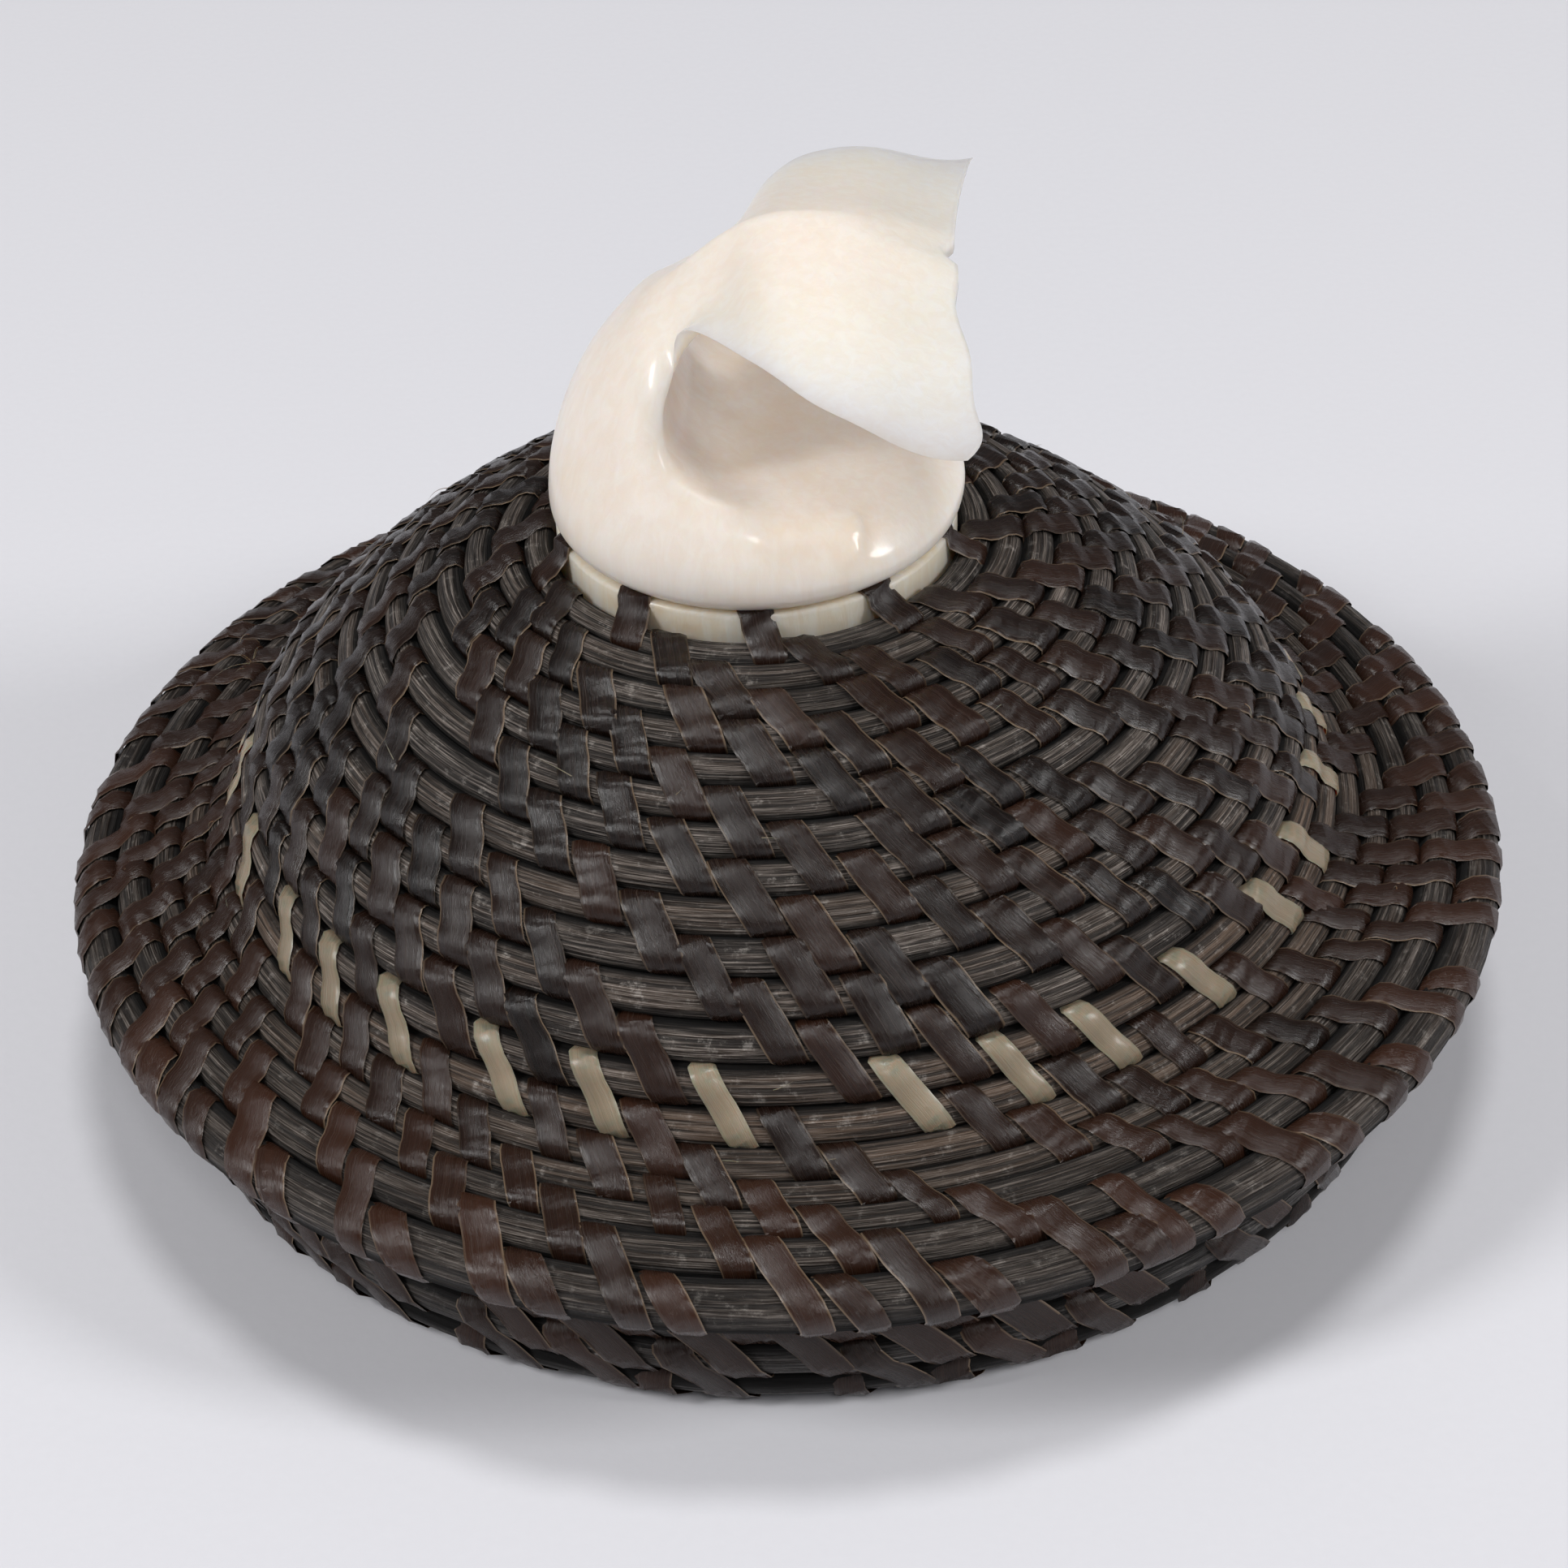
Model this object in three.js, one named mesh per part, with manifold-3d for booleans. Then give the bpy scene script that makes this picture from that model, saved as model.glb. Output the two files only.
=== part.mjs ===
import * as THREE from 'three';
import { mergeVertices } from 'three/addons/utils/BufferGeometryUtils.js';
import Module from 'manifold-3d';

// A lidded basket coiled from baleen rod, with ivory starting discs and a carved whale-tail finial.
// Millimetres, +Z up, front towards -Y. The origin is on the table, under the middle of the base.

// Rods of the coils, and the splints that bind each loop to the next
const lidRodDiameter = 2.48;
const bodyRodDiameter = 3.4;
const collarRodDiameter = 3.0;
const rodTipDiameter = 1.0;
const splintThickness = 0.3;
const stitchGap = 0.5;
const bodyStitchGap = 0.65;

// Loops of each coil
const lidLoops = 19;
const bodyLoops = 13;
const collarLoops = 2;

// Starting discs, drilled near the edge for the first stitches
const lidDiscRadius = 17.1;
const lidDiscThickness = 4.4;
const lidDiscRise = 2.0;
const lidDiscHoles = 10;
const baseDiscRadius = 16.8;
const baseDiscThickness = 3.4;
const baseDiscHoles = 12;
const discEdgeRound = 0.8;
const stitchHoleRadius = 0.9;
const stitchHoleInset = 3.0;

// Fit of the lid on the body
const seatGap = 0.7;
const collarClearance = 1.1;

// The crown leans this far off the rim's centre at its top, as the hand-wound lid does
const crownLeanX = -1.5;
const crownLeanY = 1.0;

// Finial: a whale's tail rising from a round base
const finialBaseRadius = 17.4;
const finialHeight = 27.2;
const flukeHalfSpan = 26.2;
const flukeSweep = 2.3;
const finialTurnDegrees = 2.4;
const finialSeatGap = 0.3;
const sweepStartShare = 0.7;

// Pin that holds the finial to its disc
const pegRadius = 2.0;
const pegEngagement = 4.5;
const pegClearance = 0.3;
const cutOverrun = 1.0;

// Counts that set how finely the surfaces are divided
const stepsPerLoop = 20;
const stepUpSteps = 6;
const rodSides = 6;
const discSegments = 42;
const holeSegments = 8;
const pegSegments = 16;
const finialSections = 40;
const finialRoundSteps = 28;
const wallStepsPerLoop = 24;

// Slope of each wall in degrees, rising outward, against the share of the way from the first loop to the last
const lidSlopeShares = [
  [0.00, -6], [0.06, -14], [0.17, -29], [0.33, -39], [0.50, -42], [0.56, -49], [0.61, -62],
  [0.67, -67], [0.72, -54], [0.78, -31], [0.83, -13], [0.89, -9], [0.94, -16], [1.00, -31],
];
const bodySlopeShares = [[0.0, 0], [0.7, 0], [0.8, 84], [1.0, 90]];
const collarSlopeShares = [[0, -90], [1, -90]];

// Thickness of the rod along each coil, as a share of its diameter
const lidRodShares = [
  [0.00, 0.88], [0.22, 0.94], [0.50, 1.08], [0.68, 1.18], [0.78, 0.96], [0.84, 0.84], [0.90, 0.93], [0.95, 1.18],
  [1.00, 1.48],
];
const evenRodShares = [[0, 1], [1, 1]];

// Stations of the finial, from its base up the stock and out over the flukes. Outer and inner x follow
// the base radius, outer and inner z the height, and the half-width the half-span. The ridge places the
// widest line: 0 on the inner face, 1 on the outer, and below 0 past a hollow inner face. The crest is
// 1 where the section is round, and more where it is drawn to a crest along the middle.
const finialStationShares = [
  { outer: [-0.935, 0.000], inner: [0.941, 0.000], width: 0.640, ridge: 0.50, crest: 1.0 },
  { outer: [-1.000, 0.055], inner: [1.012, 0.048], width: 0.688, ridge: 0.50, crest: 1.0 },
  { outer: [-0.994, 0.161], inner: [1.006, 0.132], width: 0.688, ridge: 0.50, crest: 1.0 },
  { outer: [-0.953, 0.278], inner: [0.847, 0.205], width: 0.636, ridge: 0.46, crest: 1.0 },
  { outer: [-0.882, 0.403], inner: [0.412, 0.242], width: 0.560, ridge: 0.36, crest: 1.0 },
  { outer: [-0.788, 0.520], inner: [-0.035, 0.278], width: 0.488, ridge: 0.22, crest: 1.1 },
  { outer: [-0.665, 0.626], inner: [-0.294, 0.381], width: 0.420, ridge: 0.10, crest: 1.2 },
  { outer: [-0.512, 0.729], inner: [-0.371, 0.535], width: 0.376, ridge: 0.02, crest: 1.3 },
  { outer: [-0.329, 0.821], inner: [-0.288, 0.659], width: 0.328, ridge: 0.00, crest: 1.4 },
  { outer: [-0.118, 0.930], inner: [-0.094, 0.755], width: 0.360, ridge: 0.03, crest: 1.5 },
  { outer: [0.059, 0.985], inner: [0.059, 0.802], width: 0.600, ridge: 0.08, crest: 1.6 },
  { outer: [0.259, 1.000], inner: [0.259, 0.832], width: 0.816, ridge: -0.10, crest: 1.8 },
  { outer: [0.565, 0.978], inner: [0.565, 0.846], width: 0.944, ridge: -0.55, crest: 2.0 },
  { outer: [0.976, 0.872], inner: [0.976, 0.817], width: 1.000, ridge: -1.80, crest: 2.0 },
];

const wasm = await Module();
wasm.setup();

// Closed geometry from points and triangles, with its faces turned outward
function closedGeometry(points, triangles) {
  const volume = triangles.reduce((sum, [a, b, c]) => {
    return sum + points[a].dot(new THREE.Vector3().crossVectors(points[b], points[c]));
  }, 0);
  const outward = volume > 0 ? triangles : triangles.map(([a, b, c]) => [a, c, b]);
  const geometry = new THREE.BufferGeometry();
  geometry.setAttribute('position', new THREE.Float32BufferAttribute(points.flatMap((p) => p.toArray()), 3));
  geometry.setIndex(outward.flat());
  geometry.computeVertexNormals();
  return geometry;
}

// Solid for cutting, and back to a geometry
function solidOf(geometry) {
  const bare = geometry.clone();
  bare.deleteAttribute('normal');
  bare.deleteAttribute('uv');
  const merged = mergeVertices(bare, lidRodDiameter * 1e-4);
  const vertProperties = new Float32Array(merged.attributes.position.array);
  const triVerts = new Uint32Array(merged.index.array);
  return new wasm.Manifold(new wasm.Mesh({ numProp: 3, vertProperties, triVerts }));
}

function geometryOf(solid) {
  const mesh = solid.getMesh();
  const geometry = new THREE.BufferGeometry();
  geometry.setAttribute('position', new THREE.BufferAttribute(new Float32Array(mesh.vertProperties), 3));
  geometry.setIndex(Array.from(mesh.triVerts));
  geometry.computeVertexNormals();
  return geometry;
}

// Value of a table of [share, value] pairs at one share
function tableValue(table, share) {
  const after = table.findIndex(([place]) => place >= share);
  if (after < 1) {
    return after === 0 ? table[0][1] : table[table.length - 1][1];
  }
  const [fromShare, fromValue] = table[after - 1];
  const [toShare, toValue] = table[after];
  return THREE.MathUtils.mapLinear(share, fromShare, toShare, fromValue, toValue);
}

// Section of a coiled wall, walked from the centre of its first loop, at the radius and height given,
// to its last. Distances run along it, and each loop takes up its own rod and the gap of the stitches.
function coiledWall({ radius, height, loops, rod, gap, rodShares, slopeShares }) {
  const steps = (loops - 1) * wallStepsPerLoop;
  const rodAt = (loop) => rod * tableValue(rodShares, loop / (loops - 1));
  const slopeAt = (loop) => THREE.MathUtils.degToRad(tableValue(slopeShares, loop / (loops - 1)));
  const walk = [{ along: 0, radius, height, slope: slopeAt(0) }];
  for (let step = 1; step <= steps; step += 1) {
    const last = walk[step - 1];
    const loop = (step - 0.5) / wallStepsPerLoop;
    const stride = (rodAt(loop) + gap) / wallStepsPerLoop;
    walk.push({
      along: last.along + stride,
      radius: last.radius + Math.cos(slopeAt(loop)) * stride,
      height: last.height + Math.sin(slopeAt(loop)) * stride,
      slope: slopeAt(loop),
    });
  }
  // Value of the walk at a key's value, also a little before the first loop and past the last
  function walkAt(key, wanted) {
    const after = THREE.MathUtils.clamp(walk.findIndex((place) => place[key] >= wanted), 1, steps);
    const to = walk[wanted > walk[steps][key] ? steps : after];
    const from = walk[walk.indexOf(to) - 1];
    const share = (wanted - from[key]) / (to[key] - from[key]);
    return {
      along: THREE.MathUtils.lerp(from.along, to.along, share),
      radius: THREE.MathUtils.lerp(from.radius, to.radius, share),
      height: THREE.MathUtils.lerp(from.height, to.height, share),
      slope: THREE.MathUtils.lerp(from.slope, to.slope, THREE.MathUtils.clamp(share, 0, 1)),
    };
  }
  const alongAt = (loop) => {
    const position = loop * wallStepsPerLoop;
    const from = walk[Math.min(Math.floor(position), steps - 1)];
    const to = walk[Math.min(Math.floor(position), steps - 1) + 1];
    return from.along + (to.along - from.along) * (position - walk.indexOf(from));
  };
  return {
    loops,
    gap,
    rodAt,
    alongAt,
    first: walk[0],
    last: walk[steps],
    placeAt: (along) => walkAt('along', along),
    placeAtRadius: (wanted) => walkAt('radius', wanted),
  };
}

// Rings of one coil. Each loop keeps its place on the wall for most of its turn and steps up to the
// next in the last part, behind the object. Both ends are shaved to a tip that fills the step.
function coilRings(wall) {
  const innerEdge = (loop) => wall.alongAt(loop) - wall.rodAt(loop) / 2;
  const outerEdge = (loop) => wall.alongAt(loop) + wall.rodAt(loop) / 2;
  const stepUp = (stepInLoop) => {
    const share = THREE.MathUtils.clamp((stepInLoop - stepsPerLoop + stepUpSteps) / stepUpSteps, 0, 1);
    return THREE.MathUtils.smoothstep(share, 0, 1);
  };
  const lastLoop = wall.loops - 1;
  const rings = [];
  for (let step = -stepUpSteps; step <= wall.loops * stepsPerLoop; step += 1) {
    const loop = Math.floor(step / stepsPerLoop);
    const risen = stepUp(step - loop * stepsPerLoop);
    let along = 0;
    let thickness = 0;
    if (loop < 0) {
      thickness = innerEdge(risen) - innerEdge(0) - wall.gap;
      along = innerEdge(0) + thickness / 2;
    } else if (loop < lastLoop) {
      thickness = wall.rodAt(loop + risen);
      along = wall.alongAt(loop + risen);
    } else {
      thickness = outerEdge(lastLoop) - outerEdge(lastLoop - 1 + risen) - wall.gap;
      along = outerEdge(lastLoop) - thickness / 2;
    }
    if (thickness >= rodTipDiameter && loop < wall.loops) {
      rings.push({ angle: 2 * Math.PI * step / stepsPerLoop, along, thickness });
    }
  }
  return rings;
}

// Points of one ring of a rod, its corners facing the loops beside it. A leaning wall slides sideways as it rises.
function ringPoints({ wall, azimuth, lean }, { angle, along, thickness }, run) {
  const { radius, height, slope } = wall.placeAt(along);
  const risen = (height - wall.last.height) / (wall.first.height - wall.last.height);
  const turn = azimuth + angle;
  const outward = new THREE.Vector3(Math.cos(turn), Math.sin(turn), 0);
  const up = new THREE.Vector3(0, 0, 1);
  const forward = new THREE.Vector3().crossVectors(up, outward);
  const points = [];
  for (let side = 0; side < rodSides; side += 1) {
    const corner = 2 * Math.PI * side / rodSides;
    const across = Math.cos(corner) * thickness / 2;
    const above = Math.sin(corner) * thickness / 2;
    points.push(new THREE.Vector3()
      .addScaledVector(outward, radius + Math.cos(slope) * across - Math.sin(slope) * above)
      .addScaledVector(up, height + Math.sin(slope) * across + Math.cos(slope) * above)
      .addScaledVector(forward, run)
      .addScaledVector(lean, risen));
  }
  return points;
}

// Least gap between one turn of a coil and its neighbours, on the corners and middles of its edges
function leastGap(loopsOfPoints) {
  const samples = loopsOfPoints.map((ring, index) => {
    const next = loopsOfPoints[Math.min(index + 1, loopsOfPoints.length - 1)];
    return ring.flatMap((point, side) => [point, point.clone().lerp(next[side], 0.5)]);
  });
  let least = Infinity;
  samples.forEach((ring, index) => {
    samples.slice(index + Math.floor(stepsPerLoop / 2), index + 2 * stepsPerLoop).forEach((other) => {
      ring.forEach((a) => other.forEach((b) => {
        least = Math.min(least, a.distanceTo(b));
      }));
    });
  });
  return least;
}

// One unbroken rod wound as a coil on a wall. Its ends run straight for one tip thickness.
function coilGeometry(name, coil) {
  const rings = coilRings(coil.wall);
  const first = rings[0];
  const last = rings[rings.length - 1];
  const loopsOfPoints = [
    ringPoints(coil, first, -first.thickness),
    ...rings.map((ring) => ringPoints(coil, ring, 0)),
    ringPoints(coil, last, last.thickness),
  ];
  console.log(`${name}: least gap between loops ${leastGap(loopsOfPoints).toFixed(3)} mm`);
  const triangles = [];
  for (let ring = 0; ring + 1 < loopsOfPoints.length; ring += 1) {
    for (let side = 0; side < rodSides; side += 1) {
      const [a, b] = [ring * rodSides + side, ring * rodSides + (side + 1) % rodSides];
      triangles.push([a, b, b + rodSides], [a, b + rodSides, a + rodSides]);
    }
  }
  const lastRing = (loopsOfPoints.length - 1) * rodSides;
  for (let side = 1; side + 1 < rodSides; side += 1) {
    triangles.push([0, side + 1, side], [lastRing, lastRing + side, lastRing + side + 1]);
  }
  return closedGeometry(loopsOfPoints.flat(), triangles);
}

// Upright cylinder for cutting or for the pin
function uprightCylinder(radius, bottom, top, segments) {
  const cylinder = new THREE.CylinderGeometry(radius, radius, top - bottom, segments);
  cylinder.rotateX(Math.PI / 2);
  cylinder.translate(0, 0, (bottom + top) / 2);
  return cylinder;
}

// Starting disc with a rounded edge and a ring of drilled holes for the first stitches. Its underside is at zero.
function startingDisc(radius, thickness, holes, centreHoleRadius) {
  const profile = [
    [0, 0], [radius - discEdgeRound, 0], [radius, discEdgeRound], [radius, thickness - discEdgeRound],
    [radius - discEdgeRound / 4, thickness - discEdgeRound / 3], [radius - discEdgeRound, thickness], [0, thickness],
  ].map(([x, y]) => new THREE.Vector2(x, y));
  const blank = new THREE.LatheGeometry(profile, discSegments);
  blank.rotateX(Math.PI / 2);
  let disc = solidOf(blank);
  for (let hole = 0; hole < holes; hole += 1) {
    const angle = 2 * Math.PI * (hole + 0.5) / holes;
    const drill = uprightCylinder(stitchHoleRadius, -cutOverrun, thickness + cutOverrun, holeSegments);
    const ring = radius - stitchHoleInset;
    drill.translate(Math.cos(angle) * ring, Math.sin(angle) * ring, 0);
    disc = disc.subtract(solidOf(drill));
  }
  if (centreHoleRadius > 0) {
    const bore = uprightCylinder(centreHoleRadius, -cutOverrun, thickness + cutOverrun, pegSegments);
    disc = disc.subtract(solidOf(bore));
  }
  return geometryOf(disc);
}

// Smooth value through a list, as four neighbours weigh it
function smoothValue(values, position) {
  const index = Math.min(Math.floor(position), values.length - 2);
  const share = position - index;
  const pick = (offset) => values[THREE.MathUtils.clamp(index + offset, 0, values.length - 1)];
  const [before, from, to, after] = [pick(-1), pick(0), pick(1), pick(2)];
  const bend = 2 * before - 5 * from + 4 * to - after;
  const twist = 3 * (from - to) + after - before;
  return from + share * ((to - before) + share * (bend + share * twist)) / 2;
}

// One closed section of the finial, from its inner face round to its outer face and back
function finialSection(share) {
  const position = share * (finialStationShares.length - 1);
  const value = (read) => smoothValue(finialStationShares.map(read), position);
  const outer = new THREE.Vector2(
    value((station) => station.outer[0]) * finialBaseRadius,
    value((station) => station.outer[1]) * finialHeight,
  );
  const inner = new THREE.Vector2(
    value((station) => station.inner[0]) * finialBaseRadius,
    value((station) => station.inner[1]) * finialHeight,
  );
  const halfWidth = value((station) => station.width) * flukeHalfSpan;
  const ridge = value((station) => station.ridge);
  const crest = value((station) => station.crest);
  const sweep = flukeSweep * THREE.MathUtils.smoothstep(share, sweepStartShare, 1);
  const points = [];
  for (let step = 0; step < finialRoundSteps; step += 1) {
    const angle = 2 * Math.PI * step / finialRoundSteps;
    const fall = Math.abs(Math.cos(angle)) ** crest;
    const depth = Math.cos(angle) > 0 ? ridge * (1 - fall) : ridge + (1 - ridge) * fall;
    const place = inner.clone().lerp(outer, depth);
    const side = Math.sin(angle);
    points.push(new THREE.Vector3(place.x + sweep * side * side, halfWidth * side, place.y));
  }
  return points;
}

// Finial as sections joined one to the next, with the pin's hole drilled in its base
function finialGeometry() {
  const sections = Array.from({ length: finialSections }, (_, index) => finialSection(index / (finialSections - 1)));
  const triangles = [];
  for (let section = 0; section + 1 < finialSections; section += 1) {
    for (let step = 0; step < finialRoundSteps; step += 1) {
      const a = section * finialRoundSteps + step;
      const b = section * finialRoundSteps + (step + 1) % finialRoundSteps;
      triangles.push([a, b, b + finialRoundSteps], [a, b + finialRoundSteps, a + finialRoundSteps]);
    }
  }
  // Each end is closed between its inner and outer halves, which have the same widths
  const lastSection = (finialSections - 1) * finialRoundSteps;
  for (const [start, turned] of [[0, true], [lastSection, false]]) {
    const quarter = finialRoundSteps / 4;
    for (let step = -quarter; step < quarter; step += 1) {
      const innerAt = (count) => start + (count + finialRoundSteps) % finialRoundSteps;
      const outerAt = (count) => start + (2 * quarter - count + finialRoundSteps) % finialRoundSteps;
      const corners = [innerAt(step), innerAt(step + 1), outerAt(step + 1), outerAt(step)];
      const facing = turned ? corners.toReversed() : corners;
      const pairs = [[facing[0], facing[1], facing[2]], [facing[0], facing[2], facing[3]]];
      triangles.push(...pairs.filter((corner) => new Set(corner).size === 3));
    }
  }
  const blank = solidOf(closedGeometry(sections.flat(), triangles));
  const bore = uprightCylinder(
    pegRadius + pegClearance,
    -cutOverrun,
    pegEngagement + pegClearance,
    pegSegments,
  );
  return geometryOf(blank.subtract(solidOf(bore)));
}

const baleen = new THREE.MeshStandardMaterial({ color: 0x2b2624, roughness: 0.6, metalness: 0 });
const baleenRim = new THREE.MeshStandardMaterial({ color: 0x352b27, roughness: 0.6, metalness: 0 });
const ivory = new THREE.MeshStandardMaterial({ color: 0xeee2cf, roughness: 0.3, metalness: 0 });
const wornIvory = new THREE.MeshStandardMaterial({ color: 0xe2d2b6, roughness: 0.4, metalness: 0 });

function addPiece(group, name, geometry, material) {
  const mesh = new THREE.Mesh(geometry, material);
  mesh.name = name;
  group.add(mesh);
}

// Walls of the three coils. The lid's brim rests on the mouth, and the collar hangs under it inside the mouth.
const bodyWall = coiledWall({
  radius: baseDiscRadius + bodyStitchGap + bodyRodDiameter / 2,
  height: splintThickness + bodyRodDiameter / 2,
  loops: bodyLoops,
  rod: bodyRodDiameter,
  gap: bodyStitchGap,
  rodShares: evenRodShares,
  slopeShares: bodySlopeShares,
});
const lidWall = coiledWall({
  radius: lidDiscRadius + stitchGap + lidRodDiameter * lidRodShares[0][1] / 2,
  height: 0,
  loops: lidLoops,
  rod: lidRodDiameter,
  gap: stitchGap,
  rodShares: lidRodShares,
  slopeShares: lidSlopeShares,
});
const mouth = bodyWall.last;
const seat = lidWall.placeAtRadius(mouth.radius);
const collarRadius = mouth.radius - bodyRodDiameter / 2 - collarClearance - collarRodDiameter / 2;
const underLid = lidWall.placeAtRadius(collarRadius);
const collarDrop = (lidRodDiameter + collarRodDiameter) / 2 + stitchGap;
const collarWall = coiledWall({
  radius: collarRadius,
  height: underLid.height - collarDrop / Math.cos(underLid.slope),
  loops: collarLoops,
  rod: collarRodDiameter,
  gap: stitchGap,
  rodShares: evenRodShares,
  slopeShares: collarSlopeShares,
});

// The steps up of all coils lie behind the object
const azimuth = Math.PI / 2 + Math.PI * stepUpSteps / stepsPerLoop;
const upright = new THREE.Vector3();
const crownLean = new THREE.Vector3(crownLeanX, crownLeanY, 0);

// Body: a flat coiled base that turns up into a low wall
const body = new THREE.Group();
addPiece(body, 'base_disc', startingDisc(baseDiscRadius, baseDiscThickness, baseDiscHoles, 0), wornIvory);
addPiece(body, 'body_coil', coilGeometry('body_coil', { wall: bodyWall, azimuth, lean: upright }), baleen);

// Lid: a coiled crown and brim round its own disc, with a collar below that drops inside the mouth
const lid = new THREE.Group();
const rodUnderside = lidRodDiameter / 2 / Math.cos(seat.slope);
lid.position.z = mouth.height + bodyRodDiameter / 2 + seatGap + rodUnderside - seat.height;
addPiece(lid, 'lid_coil', coilGeometry('lid_coil', { wall: lidWall, azimuth, lean: crownLean }), baleenRim);
addPiece(lid, 'lid_collar', coilGeometry('lid_collar', { wall: collarWall, azimuth, lean: upright }), baleen);

// Crown: the lid's disc, with the finial pinned on top of it
const crown = new THREE.Group();
crown.position.set(crownLeanX, crownLeanY, lidWall.rodAt(0) / 2 + lidDiscRise - lidDiscThickness);
const lidDisc = startingDisc(lidDiscRadius, lidDiscThickness, lidDiscHoles, pegRadius + pegClearance);
const finialSeat = lidDiscThickness + finialSeatGap;
const finial = finialGeometry();
finial.rotateZ(-THREE.MathUtils.degToRad(finialTurnDegrees));
finial.translate(0, 0, finialSeat);
const peg = uprightCylinder(pegRadius, 0, finialSeat + pegEngagement, pegSegments);
addPiece(crown, 'lid_disc', lidDisc, ivory);
addPiece(crown, 'whale_tail_finial', finial, ivory);
addPiece(crown, 'finial_peg', peg, wornIvory);
lid.add(crown);

const basket = new THREE.Group();
basket.add(body, lid);
export default basket;
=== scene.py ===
"""Looks of a small lidded basket coiled from baleen, with ivory discs and a whale-tail finial.

Metres, +Z up, front towards -Y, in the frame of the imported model. The rods of the coils and the
splints that bind them are worked out on the same walls as the solids they replace.
"""

import logging
import math
from dataclasses import dataclass, field
from enum import Enum

import bpy
import numpy as np
from mathutils import Matrix, Vector

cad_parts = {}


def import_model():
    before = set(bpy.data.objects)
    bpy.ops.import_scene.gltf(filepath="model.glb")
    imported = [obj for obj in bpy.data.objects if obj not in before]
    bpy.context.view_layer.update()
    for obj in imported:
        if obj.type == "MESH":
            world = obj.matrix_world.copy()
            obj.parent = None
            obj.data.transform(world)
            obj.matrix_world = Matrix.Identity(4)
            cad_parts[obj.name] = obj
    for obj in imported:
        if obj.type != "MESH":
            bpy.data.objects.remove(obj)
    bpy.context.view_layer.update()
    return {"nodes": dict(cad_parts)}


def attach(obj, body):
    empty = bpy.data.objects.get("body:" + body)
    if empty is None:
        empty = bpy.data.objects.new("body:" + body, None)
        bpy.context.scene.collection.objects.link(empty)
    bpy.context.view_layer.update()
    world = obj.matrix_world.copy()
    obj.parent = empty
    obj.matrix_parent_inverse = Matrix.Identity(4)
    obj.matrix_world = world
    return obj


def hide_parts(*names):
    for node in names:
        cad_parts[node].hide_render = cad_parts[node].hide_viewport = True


LOG = logging.getLogger("baleen_basket")
MM = 0.001
FULL_TURN = 2.0 * math.pi
FRAME_PIXELS = 1932
SENSOR_MM = 36.0

Table = tuple[tuple[float, float], ...]


class Slot(Enum):
    """Material slots of the record that the pieces take their finish from."""

    BALEEN = "baleen"
    DARK_SPLINT = "dark_splint"
    PALE_SPLINT = "pale_splint"
    IVORY = "ivory"
    WORN_IVORY = "worn_ivory"


class Body(Enum):
    """Bodies of the frame that the pieces ride on."""

    BASKET = "basket"
    LID = "lid"


# Walls of the coils


def read_table(table: Table, places: np.ndarray) -> np.ndarray:
    """Values of a table of places and values, joined by straight lines, at other places."""
    return np.interp(places, *zip(*table))


def even(value: float) -> Table:
    """A table that holds one value throughout."""
    return ((0.0, value),)


@dataclass(frozen=True)
class WallPlan:
    """Sizes of one coiled wall in millimetres, the same as in the part's source."""

    radius: float
    height: float
    loops: int
    rod: float
    gap: float
    rod_shares: Table
    slopes: Table
    lean: tuple[float, float] = (0.0, 0.0)


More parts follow.
